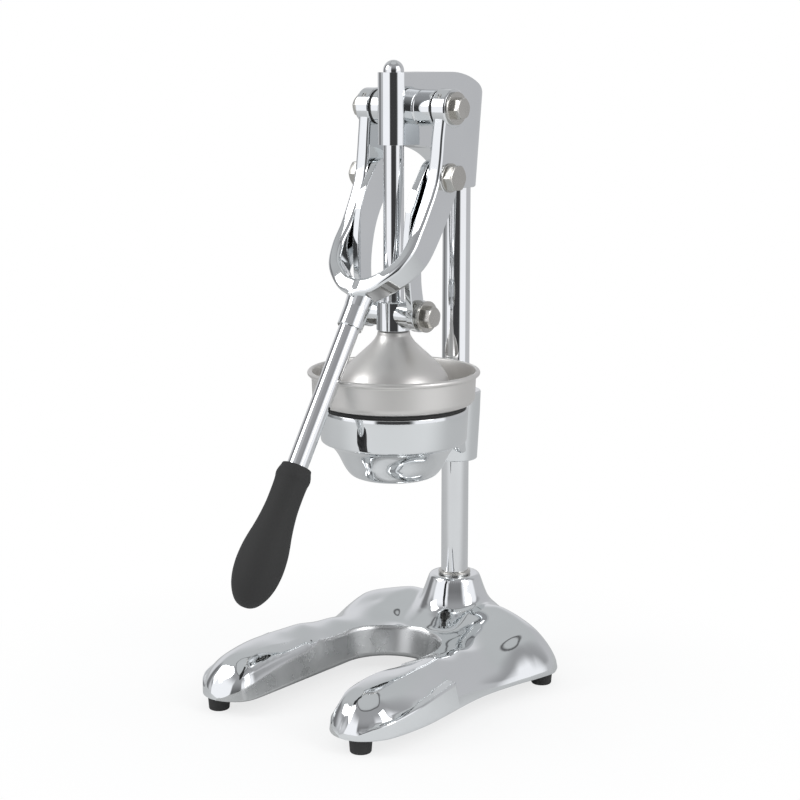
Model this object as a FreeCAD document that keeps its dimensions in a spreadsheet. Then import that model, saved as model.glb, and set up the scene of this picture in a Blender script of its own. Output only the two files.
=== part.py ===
import FreeCAD
import Part
import Sketcher
import math
import os

# Lever citrus press. Millimetres, +Z up, the user stands on the -Y side.
# The origin lies on the table, under the middle of the whole object.

# Driving dimensions
SIZES = {
    "post_setback": 129.5,
    "post_dia": 25.0,
    "ram_reach": 91.0,
    "pivot_reach": 68.0,
    "pivot_height": 515.0,
    "crank_length": 58.5,
    "crank_lead": 5.0,
    "link_length": 119.5,
    "ram_dia": 18.0,
    "ram_proud": 10.5,
    "run_gap": 0.05,
    "side_gap": 0.5,
    "seat_gap": 0.02,
    "base_rim": 14.0,
    "base_half_width": 118.0,
    "base_wall": 5.0,
    "base_tip_reach": 252.0,
    "base_heel_reach": 34.0,
    "slot_half_width": 44.0,
    "slot_flare": 5.0,
    "finger_crest": 50.0,
    "boss_top": 84.0,
    "boss_top_dia": 46.0,
    "boss_foot_dia": 60.0,
    "foot_front_x": 80.0,
    "foot_front_reach": 235.0,
    "foot_rear_x": 104.0,
    "foot_rear_reach": 7.0,
    "foot_dia": 20.0,
    "stud_dia": 16.0,
    "collar_dia": 30.0,
    "head_rise": 30.0,
    "head_drop": 72.0,
    "barrel_dia": 27.0,
    "barrel_drop": 31.0,
    "socket_foot_dia": 33.6,
    "socket_top_dia": 47.0,
    "crown_reach": 36.0,
    "trunnion_dia": 31.0,
    "trunnion_half": 32.0,
    "shaft_dia": 16.0,
    "ring_dia": 33.0,
    "ring_inner": 34.5,
    "ring_outer": 48.5,
    "arm_inner": 33.0,
    "arm_outer": 45.0,
    "link_inner": 24.3,
    "link_thick": 6.7,
    "link_pin_dia": 12.0,
    "crosshead_dia": 30.0,
    "crosshead_tall": 26.0,
    "bell_dia": 102.0,
    "bell_wall": 2.0,
    "bell_tall": 55.0,
    "cup_drop": 78.5,
    "cup_rim_dia": 151.6,
    "cup_dia": 143.0,
    "cup_tall": 29.0,
    "cup_wall": 1.5,
    "seat_ring_tall": 4.0,
    "holder_dia": 130.0,
    "band_tall": 30.0,
    "funnel_tall": 67.0,
    "funnel_foot_dia": 84.0,
    "spout_dia": 56.0,
    "holder_wall": 4.0,
    "clamp_dia": 44.0,
    "clamp_tall": 64.0,
    "handle_lean": 32.4,
    "handle_dia": 18.0,
    "handle_ahead": 87.4,
    "handle_below": 189.1,
    "socket_out_dia": 22.0,
    "grip_start": 120.0,
    "grip_length": 124.0,
    "grip_bulb_dia": 41.0,
    "grip_waist_dia": 28.0,
}


class Size:
    """A length or angle kept both as a number and as an expression over the sheet."""

    def __init__(self, value, text):
        self.value = float(value)
        self.text = text

    def __add__(self, other):
        other = as_size(other)
        return Size(self.value + other.value, f"({self.text} + {other.text})")

    __radd__ = __add__

    def __sub__(self, other):
        other = as_size(other)
        return Size(self.value - other.value, f"({self.text} - {other.text})")

    def __rsub__(self, other):
        return as_size(other) - self

    def __mul__(self, other):
        other = as_size(other)
        return Size(self.value * other.value, f"({self.text} * {other.text})")

    __rmul__ = __mul__

    def __truediv__(self, other):
        other = as_size(other)
        return Size(self.value / other.value, f"({self.text} / {other.text})")

    def __neg__(self):
        return Size(-self.value, f"(0 - {self.text})")


def as_size(number):
    if isinstance(number, Size):
        return number
    return Size(number, f"({float(number):.6f})")


def cosine(angle):
    return Size(math.cos(math.radians(angle.value)), f"cos({angle.text} * 1deg)")


def sine(angle):
    return Size(math.sin(math.radians(angle.value)), f"sin({angle.text} * 1deg)")


def root(number):
    return Size(math.sqrt(number.value), f"sqrt({number.text})")


doc = FreeCAD.newDocument("Press")
sheet = doc.addObject("Spreadsheet::Sheet", "Sizes")
for row, (word, number) in enumerate(SIZES.items(), 1):
    sheet.set(f"A{row}", word)
    sheet.set(f"B{row}", str(number))
    sheet.setAlias(f"B{row}", word)
doc.recompute()


def size(word):
    return Size(sheet.get(word), "Sizes." + word)


post_dia = size("post_dia")
run_gap = size("run_gap")
side_gap = size("side_gap")
seat_gap = size("seat_gap")
ram_dia = size("ram_dia")
post_y = size("post_setback")
ram_y = post_y - size("ram_reach")
pivot_y = post_y - size("pivot_reach")
pivot_z = size("pivot_height")
crank = size("crank_length")
lead = size("crank_lead")
mid_y = pivot_y - crank * sine(lead)
mid_z = pivot_z - crank * cosine(lead)
link_length = size("link_length")
link_run = mid_y - ram_y
link_drop = root(link_length * link_length - link_run * link_run)
low_z = mid_z - link_drop
head_top = pivot_z + size("head_rise")
head_foot = pivot_z - size("head_drop")
barrel_foot = pivot_z - size("barrel_drop")
cup_foot = low_z - size("cup_drop")
holder_top = cup_foot - size("seat_ring_tall")
origin = as_size(0)

exported = []


def bind(thing, prop, length):
    thing.setExpression(prop, length.text)


def place(thing, x=origin, y=origin, z=origin, turn=None):
    """Puts a piece at a point; turn is (axis vector, angle as a Size)."""
    if turn:
        axis, angle = turn
        thing.Placement = FreeCAD.Placement(
            FreeCAD.Vector(0, 0, 0), FreeCAD.Rotation(FreeCAD.Vector(*axis), angle.value))
        bind(thing, "Placement.Rotation.Angle", angle)
    for name, length in (("x", x), ("y", y), ("z", z)):
        bind(thing, "Placement.Base." + name, as_size(length))


def new_body(label):
    body = doc.addObject("PartDesign::Body", label)
    body.Label = label
    return body


def plane_of(body, role):
    for feature in body.Origin.OriginFeatures:
        if feature.Role == role:
            return feature
    raise RuntimeError("no plane " + role)


def new_sketch(body, role, offset=None):
    sketch = body.newObject("Sketcher::SketchObject", body.Label + "_sketch")
    sketch.AttachmentSupport = [(plane_of(body, role), "")]
    sketch.MapMode = "FlatFace"
    if offset is not None:
        bind(sketch, "AttachmentOffset.Base.z", as_size(offset))
    return sketch


def fix_point(sketch, edge, end, across, up):
    """Ties one end of an edge to its place in the sketch."""
    for kind, length, axis in (("DistanceX", across, -2), ("DistanceY", up, -1)):
        if isinstance(length, Size):
            index = sketch.addConstraint(Sketcher.Constraint(kind, -1, 1, edge, end, length.value))
            sketch.setExpression(f"Constraints[{index}]", length.text)
        elif length == 0:
            sketch.addConstraint(Sketcher.Constraint("PointOnObject", edge, end, axis))
        else:
            sketch.addConstraint(Sketcher.Constraint(kind, -1, 1, edge, end, float(length)))


def arc_between(start, end, radius):
    """Arc of under half a circle; a positive radius bends to the left of the way from start to end."""
    chord = end - start
    half = chord.Length / 2
    reach = math.sqrt(max(radius * radius - half * half, 0.0))
    side = FreeCAD.Vector(-chord.y, chord.x, 0).normalize()
    if radius < 0:
        side = side * -1
    centre = (start + end) * 0.5 + side * reach
    first, last = (start, end) if radius > 0 else (end, start)
    angles = [math.atan2(p.y - centre.y, p.x - centre.x) for p in (first, last)]
    if angles[1] <= angles[0]:
        angles[1] += 2 * math.pi
    circle = Part.Circle(centre, FreeCAD.Vector(0, 0, 1), abs(radius))
    return Part.ArcOfCircle(circle, angles[0], angles[1])


def outline(sketch, points):
    """Closed outline. A point is (across, up) or (across, up, radius of the arc that leaves it)."""
    number = len(points)
    spots = [FreeCAD.Vector(as_size(p[0]).value, as_size(p[1]).value, 0) for p in points]
    first_edge = sketch.GeometryCount
    ends = []
    for i, point in enumerate(points):
        start = spots[i]
        end = spots[(i + 1) % number]
        if len(point) > 2:
            radius = as_size(point[2])
            edge = sketch.addGeometry(arc_between(start, end, radius.value), False)
            ends.append((1, 2) if radius.value > 0 else (2, 1))
            index = sketch.addConstraint(Sketcher.Constraint("Radius", edge, abs(radius.value)))
            if isinstance(point[2], Size):
                sketch.setExpression(f"Constraints[{index}]", f"abs({radius.text})")
        else:
            edge = sketch.addGeometry(Part.LineSegment(start, end), False)
            ends.append((1, 2))
    for i in range(number):
        following = (i + 1) % number
        sketch.addConstraint(Sketcher.Constraint(
            "Coincident", first_edge + i, ends[i][1], first_edge + following, ends[following][0]))
    for i, point in enumerate(points):
        fix_point(sketch, first_edge + i, ends[i][0], point[0], point[1])


def circle(sketch, across, up, diameter):
    middle = FreeCAD.Vector(as_size(across).value, as_size(up).value, 0)
    diameter = as_size(diameter)
    edge = sketch.addGeometry(Part.Circle(middle, FreeCAD.Vector(0, 0, 1), diameter.value / 2), False)
    fix_point(sketch, edge, 3, across, up)
    index = sketch.addConstraint(Sketcher.Constraint("Diameter", edge, diameter.value))
    sketch.setExpression(f"Constraints[{index}]", diameter.text)


def pad(body, sketch, length, both_ways=False, towards_minus=False):
    feature = body.newObject("PartDesign::Pad", body.Label + "_pad")
    feature.Profile = sketch
    feature.SideType = "Symmetric" if both_ways else "One side"
    feature.Reversed = towards_minus
    bind(feature, "Length", as_size(length))
    sketch.Visibility = False
    return feature


def pocket(body, sketch, length, both_ways=False, towards_minus=True):
    """Cuts along the sketch's normal, backwards where towards_minus says so."""
    feature = body.newObject("PartDesign::Pocket", body.Label + "_pocket")
    feature.Profile = sketch
    feature.SideType = "Symmetric" if both_ways else "One side"
    feature.Reversed = not towards_minus
    bind(feature, "Length", as_size(length))
    return feature


def turn_about(body, sketch, cut=False):
    kind = "PartDesign::Groove" if cut else "PartDesign::Revolution"
    feature = body.newObject(kind, body.Label + "_turned")
    feature.Profile = sketch
    feature.ReferenceAxis = (sketch, ["V_Axis"])
    feature.Angle = 360
    return feature


def turned(label, points, x=origin, y=origin, z=origin, turn=None):
    """A piece turned about its own Z axis from an outline of (radius, height) points."""
    body = new_body(label)
    sketch = new_sketch(body, "XZ_Plane")
    outline(sketch, points)
    turn_about(body, sketch)
    place(body, x, y, z, turn)
    return body


def tube(label, outer, inner, length, x=origin, y=origin, z=origin, turn=None):
    outer = as_size(outer) / 2
    inner = as_size(inner) / 2
    points = [(inner, 0), (outer, 0), (outer, length), (inner, length)]
    return turned(label, points, x, y, z, turn)


def export(piece, label):
    piece.Label = label
    exported.append((label, piece))


def group(label, pieces):
    """Like pieces that share one node, each still its own solid."""
    compound = doc.addObject("Part::Compound", label)
    compound.Links = pieces
    export(compound, label)


# A turn that lays a turned piece's axis along +X or -X
ALONG_X = ((0, 1, 0), as_size(90))
AGAINST_X = ((0, 1, 0), as_size(-90))
UPSIDE_DOWN = ((1, 0, 0), as_size(180))


def sideways(right):
    return ALONG_X if right else AGAINST_X


def hex_bolt(label, across_flats, head, shank_dia, shank, x, y, z, right, faces_turn=0):
    """Hexagon head bolt whose shank runs inwards from the head's bearing face at x."""
    body = new_body(label)
    sketch = new_sketch(body, "XY_Plane")
    flat = as_size(across_flats) / 2
    corner = flat / math.cos(math.pi / 6)
    corners = []
    for i in range(6):
        angle = math.radians(60 * i + faces_turn)
        corners.append((corner * math.cos(angle), corner * math.sin(angle)))
    outline(sketch, corners)
    pad(body, sketch, head)
    chamfer = new_sketch(body, "XZ_Plane")
    shallow = 0.09
    outline(chamfer, [(flat * 0.97, head), (flat * 1.5, head),
                      (flat * 1.5, as_size(head) - corner * (1.5 - 0.97) * 0.5),
                      (corner * 1.02, as_size(head) - corner * shallow * 1.2)])
    turn_about(body, chamfer, cut=True)
    rod = new_sketch(body, "XY_Plane")
    circle(rod, 0, 0, shank_dia)
    pad(body, rod, shank, towards_minus=True)
    place(body, x, y, z, sideways(right))
    return body


def signed(right, length):
    return as_size(length) if right else -as_size(length)


# Base casting: a shell with two front fingers, a round slot between them and a post boss
def spline_edge(points):
    curve = Part.BSplineCurve()
    curve.interpolate([FreeCAD.Vector(*p) for p in points])
    return curve.toShape()


def value(word):
    return size(word).value


def base_section(station, mid, crease, crest, shoulder, half, drop, inset):
    """One cross-section of the casting at a distance in front of the post."""
    y = post_y.value - station
    rim = value("base_rim")
    slot = value("slot_half_width") + value("slot_flare")
    half = half - inset * 0.8
    ridge_x = slot + 0.42 * (half - slot)
    shoulder_x = slot + 0.86 * (half - slot)
    low = rim - drop
    right = [(half, rim), (shoulder_x, max(shoulder - inset, rim + 0.6)),
             (ridge_x, max(crest - inset, rim + 0.8)), (slot, max(crease - inset, rim + 0.7)),
             (slot * 0.5, max((crease + mid) / 2 - inset, rim + 0.7))]
    top = [(x, y, z) for x, z in right] + [(0, y, max(mid - inset, rim + 0.7))]
    top += [(-x, y, z) for x, z in reversed(right)]
    edges = [spline_edge(top)]
    corners = [(-half, y, rim), (half, y, rim)]
    if drop > 0:
        corners = [(-half, y, rim), (-half, y, low), (half, y, low), (half, y, rim)]
    for start, end in zip(corners, corners[1:]):
        edges.append(Part.LineSegment(FreeCAD.Vector(*start), FreeCAD.Vector(*end)).toShape())
    return Part.Wire(Part.__sortEdges__(edges))


def base_stations():
    """Distance before the post; heights at the middle, crease, crest and shoulder; half width."""
    rim = value("base_rim")
    rise = value("finger_crest") - rim
    half = value("base_half_width")
    tip = value("base_tip_reach")
    heel = value("base_heel_reach")
    return [
        (tip + 2.5, rim + 1, rim + 1, rim + 1.5, rim + 1.2, half + 1),
        (tip - 3, rim + rise * 0.14, rim + rise * 0.14, rim + rise * 0.27, rim + rise * 0.18, half + 1),
        (tip - 13, rim + rise * 0.27, rim + rise * 0.27, rim + rise * 0.53, rim + rise * 0.36, half),
        (tip - 34, rim + rise * 0.46, rim + rise * 0.46, rim + rise * 0.78, rim + rise * 0.5, half - 2),
        (tip - 68, rim + rise * 0.63, rim + rise * 0.65, rim + rise * 0.95, rim + rise * 0.58, half - 4),
        (tip - 108, rim + rise * 0.74, rim + rise * 0.77, rim + rise, rim + rise * 0.6, half - 9),
        (value("ram_reach") + 11, rim + rise * 0.76, rim + rise * 0.8, rim + rise * 0.94,
         rim + rise * 0.56, half - 12),
        (60, rim + rise * 0.78, rim + rise * 0.84, rim + rise * 0.92, rim + rise * 0.55, half - 9),
        (28, rim + rise * 1.1, rim + rise * 1.12, rim + rise * 1.02, rim + rise * 0.62, half - 1),
        (4, rim + rise * 1.34, rim + rise * 1.3, rim + rise * 1.1, rim + rise * 0.66, half + 4),
        (-14, rim + rise * 1.2, rim + rise * 1.14, rim + rise * 0.88, rim + rise * 0.48, half + 4),
        (-heel + 6, rim + rise * 0.92, rim + rise * 0.84, rim + rise * 0.58, rim + rise * 0.28, half + 3),
        (-heel - 2, rim + rise * 0.56, rim + rise * 0.5, rim + rise * 0.34, rim + rise * 0.16, half + 2),
    ]


def base_plan(inset, low, high):
    """The casting's outline seen from above, as a block from low to high."""
    half = value("base_half_width") - inset
    tip = value("base_tip_reach") - inset
    heel = value("base_heel_reach") - inset
    inner = value("slot_half_width") - 8
    y0 = post_y.value
    finger = (half + value("slot_half_width")) / 2 - 3
    right = [(0, y0 + heel), (half * 0.45, y0 + heel - 4), (half * 0.83, y0 + heel - 18),
             (half * 0.98, y0 + 1), (half, y0 - 18), (half * 0.955, y0 - 48), (half * 0.9, y0 - 88),
             (half * 0.905, y0 - 130), (half * 0.95, y0 - 175), (half * 0.945, y0 - tip + 50),
             (half * 0.875, y0 - tip + 21), (finger + 10, y0 - tip + 3.5), (finger, y0 - tip),
             (finger - 14, y0 - tip + 5), (inner + 14, y0 - tip + 20), (inner + 8, y0 - tip + 42)]
    outer = spline_edge([(x, y, low) for x, y in right])
    gap_front = (inner, y0 - tip + 60, low)
    edges = [outer]
    edges.append(Part.LineSegment(FreeCAD.Vector(inner + 8, y0 - tip + 42, low),
                                  FreeCAD.Vector(*gap_front)).toShape())
    edges.append(Part.LineSegment(FreeCAD.Vector(*gap_front),
                                  FreeCAD.Vector(0, y0 - tip + 60, low)).toShape())
    edges.append(Part.LineSegment(FreeCAD.Vector(0, y0 - tip + 60, low),
                                  FreeCAD.Vector(0, y0 + heel, low)).toShape())
    face = Part.Face(Part.Wire(Part.__sortEdges__(edges)))
    half_block = face.extrude(FreeCAD.Vector(0, 0, high - low))
    other = half_block.mirror(FreeCAD.Vector(0, 0, 0), FreeCAD.Vector(1, 0, 0))
    return half_block.fuse(other).removeSplitter()


def slot_wire(half, centre_y, front_y, z):
    start = FreeCAD.Vector(half, front_y, z)
    turn_right = FreeCAD.Vector(half, centre_y, z)
    back = FreeCAD.Vector(0, centre_y + half, z)
    turn_left = FreeCAD.Vector(-half, centre_y, z)
    end = FreeCAD.Vector(-half, front_y, z)
    diagonal = half * math.sqrt(0.5)
    quarter_right = FreeCAD.Vector(diagonal, centre_y + diagonal, z)
    quarter_left = FreeCAD.Vector(-diagonal, centre_y + diagonal, z)
    edges = [Part.LineSegment(start, turn_right).toShape(),
             Part.Arc(turn_right, quarter_right, back).toShape(),
             Part.Arc(back, quarter_left, turn_left).toShape(),
             Part.LineSegment(turn_left, end).toShape(),
             Part.LineSegment(end, start).toShape()]
    return Part.Wire(edges)


def slot_block(extra):
    """The tapered space between the fingers, wider by extra on every side."""
    rim = value("base_rim")
    crest = value("finger_crest")
    half = value("slot_half_width") + extra
    flare = value("slot_flare")
    reach = value("ram_reach")
    front = post_y.value - value("base_tip_reach") - 20
    grow = flare / (0.7 * (crest - rim))
    wires = []
    for z in (rim - 10, crest + 30):
        rise = (z - rim) * grow
        wires.append(slot_wire(half + rise, post_y.value - reach - 18 + rise * 1.6, front, z))
    return Part.makeLoft(wires, True, True)


def post_boss(inset, low):
    """The round boss that carries the post, flaring into the casting."""
    top = value("boss_top") - inset
    top_r = value("boss_top_dia") / 2 - inset
    foot_r = value("boss_foot_dia") / 2 - inset
    flare_r = foot_r + 13
    flare_z = value("finger_crest") - 10 - inset
    waist_z = top - 26
    curve = Part.BSplineCurve()
    curve.interpolate([FreeCAD.Vector(*p) for p in (
        (top_r, 0, top - 2), (top_r + 2.6, 0, top - 9), (foot_r - 0.6, 0, top - 19),
        (foot_r + 1.5, 0, waist_z), (foot_r + 7, 0, (waist_z + flare_z) / 2 - 1), (flare_r, 0, flare_z))])
    corners = [(flare_r, flare_z), (flare_r, low), (0, low), (0, top), (top_r - 1.5, top), (top_r, top - 2)]
    edges = [curve.toShape()]
    for start, end in zip(corners, corners[1:]):
        edges.append(Part.LineSegment(FreeCAD.Vector(start[0], 0, start[1]),
                                      FreeCAD.Vector(end[0], 0, end[1])).toShape())
    face = Part.Face(Part.Wire(Part.__sortEdges__(edges)))
    boss = face.revolve(FreeCAD.Vector(0, 0, 0), FreeCAD.Vector(0, 0, 1), 360)
    boss.translate(FreeCAD.Vector(0, post_y.value, 0))
    return boss


def upright(radius, x, y, low, high):
    return Part.makeCylinder(radius, high - low, FreeCAD.Vector(x, y, low))


def foot_places():
    places = []
    for x, reach in ((value("foot_front_x"), value("foot_front_reach")),
                     (value("foot_rear_x"), value("foot_rear_reach"))):
        for side in (-1, 1):
            places.append((side * x, post_y.value - reach))
    return places


FOOT_SCREW_DIA = 5.0
FOOT_BOSS_RADIUS = 8.0
FOOT_SEAT = 3.0


def base_casting():
    rim = value("base_rim")
    wall = value("base_wall")
    tall = value("boss_top") + 5
    outer = Part.makeLoft([base_section(*s, 0.0, 0.0) for s in base_stations()], True, False)
    outer = outer.common(base_plan(0.0, rim, tall))
    outer = outer.fuse(post_boss(0.0, rim).common(base_plan(0.0, rim, tall)))
    outer = outer.cut(slot_block(0.0))
    hollow = Part.makeLoft([base_section(*s, 2.0, wall) for s in base_stations()], True, False)
    hollow = hollow.common(base_plan(wall, rim - 1, tall))
    hollow = hollow.cut(slot_block(wall))
    core = upright(value("boss_top_dia") / 2 + 4, 0, post_y.value, rim - 3, tall)
    hollow = hollow.cut(core)
    for x, y in foot_places():
        hollow = hollow.cut(upright(FOOT_BOSS_RADIUS, x, y, rim - 3, tall))
    shape = outer.cut(hollow)
    post_r = post_dia.value / 2 + seat_gap.value
    shape = shape.cut(upright(post_r, 0, post_y.value, value("base_rim") + 18, tall))
    shape = shape.cut(upright(value("stud_dia") / 2 + 0.5, 0, post_y.value, 0, tall))
    for x, y in foot_places():
        shape = shape.cut(upright(FOOT_SCREW_DIA / 2, x, y, rim - 1, rim + 14))
    return shape


base = doc.addObject("Part::Feature", "base_casting")
base.Shape = base_casting()
export(base, "base_casting")

# Feet and their screws
foot_r = size("foot_dia") / 2
rim_z = size("base_rim")
foot_outline = [(as_size(3.0), 8.0), (as_size(6.0), 8.0), (as_size(6.0), 0), (foot_r - 1.8, 0),
                (foot_r - 0.8, 1.0), (foot_r, rim_z - FOOT_SEAT + 3), (as_size(3.0), rim_z - FOOT_SEAT + 3)]
screw_outline = [(0, 3.2), (as_size(4.6), 3.2), (as_size(5.0), 4.2), (as_size(5.0), 8.0),
                 (as_size(2.45), 8.0), (as_size(2.45), rim_z + 12), (0, rim_z + 12)]
feet = []
screws = []
for x_word, reach_word in (("foot_front_x", "foot_front_reach"), ("foot_rear_x", "foot_rear_reach")):
    for side in (-1, 1):
        number = len(feet) + 1
        at_x = size(x_word) * side
        at_y = post_y - size(reach_word)
        feet.append(turned(f"rubber_foot_{number}", foot_outline, at_x, at_y))
        screws.append(turned(f"foot_screw_{number}", screw_outline, at_x, at_y))
group("rubber_feet", feet)
group("foot_screws", screws)

# Post with its threaded stud, washer and nut under the boss, and the ring at its foot
post_seat = rim_z + 18
stud_r = size("stud_dia") / 2
head_socket_end = head_top - 34
post = turned("post", [(0, rim_z - 4), (stud_r - 1, rim_z - 4), (stud_r, rim_z - 3), (stud_r, post_seat),
                       (post_dia / 2, post_seat), (post_dia / 2, head_socket_end - 1),
                       (post_dia / 2 - 1, head_socket_end), (0, head_socket_end)], y=post_y)
export(post, "post")
export(tube("post_washer", 30.0, size("stud_dia") + 0.6, 2.5, y=post_y, z=rim_z - 2.5), "post_washer")

nut = new_body("post_nut")
nut_sketch = new_sketch(nut, "XY_Plane")
outline(nut_sketch, [(as_size(13.86) * math.cos(math.radians(60 * i)),
                      as_size(13.86) * math.sin(math.radians(60 * i))) for i in range(6)])
circle(nut_sketch, 0, 0, size("stud_dia") + 0.04)
pad(nut, nut_sketch, 8.0)
place(nut, y=post_y, z=rim_z - 10.6)
export(nut, "post_nut")

collar_r = size("collar_dia") / 2
export(turned("post_collar", [(post_dia / 2 + 0.05, 0), (collar_r, 0), (collar_r, 1.4),
                              (collar_r - 1.2, 2.6), (post_dia / 2 + 0.05, 2.6)],
              y=post_y, z=size("boss_top")), "post_collar")

# Head casting: guide barrel in front, socket for the post behind, trunnion across
head = new_body("head_casting")
barrel_r = size("barrel_dia") / 2
socket_r = size("socket_foot_dia") / 2
crown_end = size("socket_top_dia") / 2
plans = []
for behind, level in ((socket_r, head_foot), (crown_end, head_top)):
    flank = behind * 0.97
    plan = new_sketch(head, "XY_Plane", level)
    outline(plan, [(barrel_r, ram_y), (flank, post_y + 1, behind), (-flank, post_y + 1),
                   (-barrel_r, ram_y, barrel_r * 1.0002)])
    plans.append(plan)
doc.recompute()
flare = head.newObject("PartDesign::AdditiveLoft", "head_flare")
flare.Profile = (plans[0], [""])
flare.Sections = [(plans[1], [""])]
flare.Ruled = True
doc.recompute()
arch = new_sketch(head, "YZ_Plane")
foot_line = head_foot - 5
arch_front = ram_y + barrel_r
outline(arch, [(ram_y - barrel_r - 6, foot_line), (post_y - socket_r - 1, foot_line),
               (post_y - socket_r - 1, barrel_foot - 19, 110), (arch_front, barrel_foot),
               (ram_y - barrel_r - 6, barrel_foot)])
pocket(head, arch, crown_end * 3, both_ways=True)
crown = new_sketch(head, "YZ_Plane")
crown_start = post_y - size("crown_reach")
crown_long = crown_end + 6 + size("crown_reach")
crown_r = crown_long + 6
crown_low = head_top - crown_r + root(crown_r * crown_r - crown_long * crown_long)
outline(crown, [(crown_start + crown_long, crown_low), (crown_start + crown_long, head_top + 4),
                (crown_start, head_top + 4), (crown_start, head_top, -crown_r)])
pocket(head, crown, crown_end * 3, both_ways=True)
trunnion = new_sketch(head, "YZ_Plane")
circle(trunnion, pivot_y, pivot_z, size("trunnion_dia"))
pad(head, trunnion, size("trunnion_half") * 2, both_ways=True)
doc.recompute()


def edges_where(feature, test):
    """Names of the edges whose middle point and length pass a test."""
    names = []
    for index, edge in enumerate(feature.Shape.Edges, 1):
        middle = edge.valueAt((edge.FirstParameter + edge.LastParameter) / 2)
        if test(middle, edge):
            names.append(f"Edge{index}")
    return names


def round_edges(body, radius, test, kind="PartDesign::Fillet"):
    doc.recompute()
    base_feature = body.Tip
    names = edges_where(base_feature, test)
    if not names:
        raise RuntimeError("no edge to round on " + body.Label)
    feature = body.newObject(kind, body.Label + "_round")
    feature.Base = (base_feature, names)
    if kind.endswith("Fillet"):
        bind(feature, "Radius", as_size(radius))
    else:
        bind(feature, "Size", as_size(radius))
    doc.recompute()
    return feature


round_edges(head, 2.2, lambda m, e: m.z > head_top.value - 23 and m.y > ram_y.value and e.Length > 20
            and abs(m.x) > 9)
bores = new_sketch(head, "XY_Plane", head_top + 5)
circle(bores, 0, ram_y, ram_dia + run_gap * 2)
pocket(head, bores, head_top - barrel_foot + 20)
post_bore = new_sketch(head, "XY_Plane", head_foot - 5)
circle(post_bore, 0, post_y, post_dia + seat_gap * 2)
pocket(head, post_bore, head_socket_end + 1 - head_foot + 5, towards_minus=False)
cross_bore = new_sketch(head, "YZ_Plane")
circle(cross_bore, pivot_y, pivot_z, size("shaft_dia") + run_gap * 2)
pocket(head, cross_bore, size("trunnion_half") * 2 + 20, both_ways=True)
lock_r = socket_r + (crown_end - socket_r) * as_size(18) / (head_top - head_foot)
lock_hole = new_sketch(head, "XZ_Plane", -(post_y + lock_r + 5))
circle(lock_hole, 0, head_foot + 18, 8.0)
pocket(head, lock_hole, lock_r - post_dia / 2 + 6, towards_minus=False)
export(head, "head_casting")

FORWARD = ((1, 0, 0), as_size(90))
BACKWARD = ((1, 0, 0), as_size(-90))


def set_screw(label, diameter, length, x, y, z, turn):
    """Grub screw with a domed outer end and a hexagon socket; it starts at its inner end."""
    outer = as_size(diameter) / 2
    length = as_size(length)
    points = [(0, 0), (outer - 1, 0), (outer, 1), (outer, length - 1.2), (outer * 0.55, length),
              (outer * 0.5, length), (outer * 0.5, length - 2.5), (0, length - 2.5)]
    return turned(label, points, x, y, z, turn)


head_screw = set_screw("head_set_screw", 7.96, lock_r - post_dia / 2 - 0.4, origin,
                       post_y + post_dia / 2 + 0.05, head_foot + 18, BACKWARD)
export(head_screw, "head_set_screw")

# Black washers between the trunnion and the fork rings
washers = []
for right in (True, False):
    washers.append(tube(f"thrust_washer_{len(washers) + 1}", 30.0, size("shaft_dia") + 0.4,
                        size("ring_inner") - size("trunnion_half") - side_gap,
                        signed(right, size("trunnion_half")), pivot_y, pivot_z, sideways(right)))
group("thrust_washers", washers)

# Cup holder: a band over a funnel, joined to a clamp on the post
holder = new_body("cup_holder")
holder_sketch = new_sketch(holder, "XZ_Plane")
band_r = size("holder_dia") / 2
thick = size("holder_wall")
funnel_z = -size("funnel_tall")
band_z = -size("band_tall")
foot_radius = size("funnel_foot_dia") / 2
spout_r = size("spout_dia") / 2
outline(holder_sketch, [
    (band_r - thick, 0), (band_r - 1, 0, -1.4), (band_r, -1), (band_r, band_z + 6, 8),
    (band_r + 1.2, band_z + 1.5), (band_r + 0.4, band_z), (band_r - 3, band_z),
    (band_r - 8, band_z - 2.5), (foot_radius + 11, band_z - 8, 26), (foot_radius + 4, band_z - 22, -40),
    (foot_radius + 1, funnel_z + 9, -9), (foot_radius - 6, funnel_z), (spout_r, funnel_z),
    (spout_r, funnel_z + thick), (foot_radius - 8, funnel_z + thick, 8), (foot_radius - 3, funnel_z + 12),
    (foot_radius, band_z - 21), (foot_radius + 6, band_z - 7), (band_r - 10, band_z + 1),
    (band_r - thick, band_z + 7)])
turn_about(holder, holder_sketch)
reach = post_y - ram_y
clamp_r = size("clamp_dia") / 2
clamp = new_sketch(holder, "XY_Plane", 1.5)
circle(clamp, 0, reach, size("clamp_dia"))
pad(holder, clamp, size("clamp_tall") + 1.5, towards_minus=True)
neck = new_sketch(holder, "XY_Plane", -1)
outline(neck, [(-clamp_r + 3, band_r - 12), (clamp_r - 3, band_r - 12), (clamp_r - 1.5, reach - 5),
               (-clamp_r + 1.5, reach - 5)])
pad(holder, neck, size("band_tall") - 4, towards_minus=True)
rib = new_sketch(holder, "YZ_Plane")
outline(rib, [(foot_radius - 1, funnel_z + 14), (reach - 8, funnel_z + 6), (reach - 8, band_z + 6),
              (foot_radius + 8, band_z + 6)])
pad(holder, rib, 12.0, both_ways=True)
clamp_bore = new_sketch(holder, "XY_Plane", 6)
circle(clamp_bore, 0, reach, post_dia + seat_gap * 2)
pocket(holder, clamp_bore, size("clamp_tall") + 12)
slit = new_sketch(holder, "YZ_Plane", post_dia / 2 - 3)
outline(slit, [(reach - 1.2, -size("clamp_tall") - 3), (reach + 1.2, -size("clamp_tall") - 3),
               (reach + 1.2, -size("clamp_tall") + 24, 1.4), (reach - 1.2, -size("clamp_tall") + 24)])
pocket(holder, slit, 20.0, towards_minus=False)
screw_hole = new_sketch(holder, "XZ_Plane", -(reach + clamp_r + 5))
circle(screw_hole, 0, -20.0, 8.0)
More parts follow.
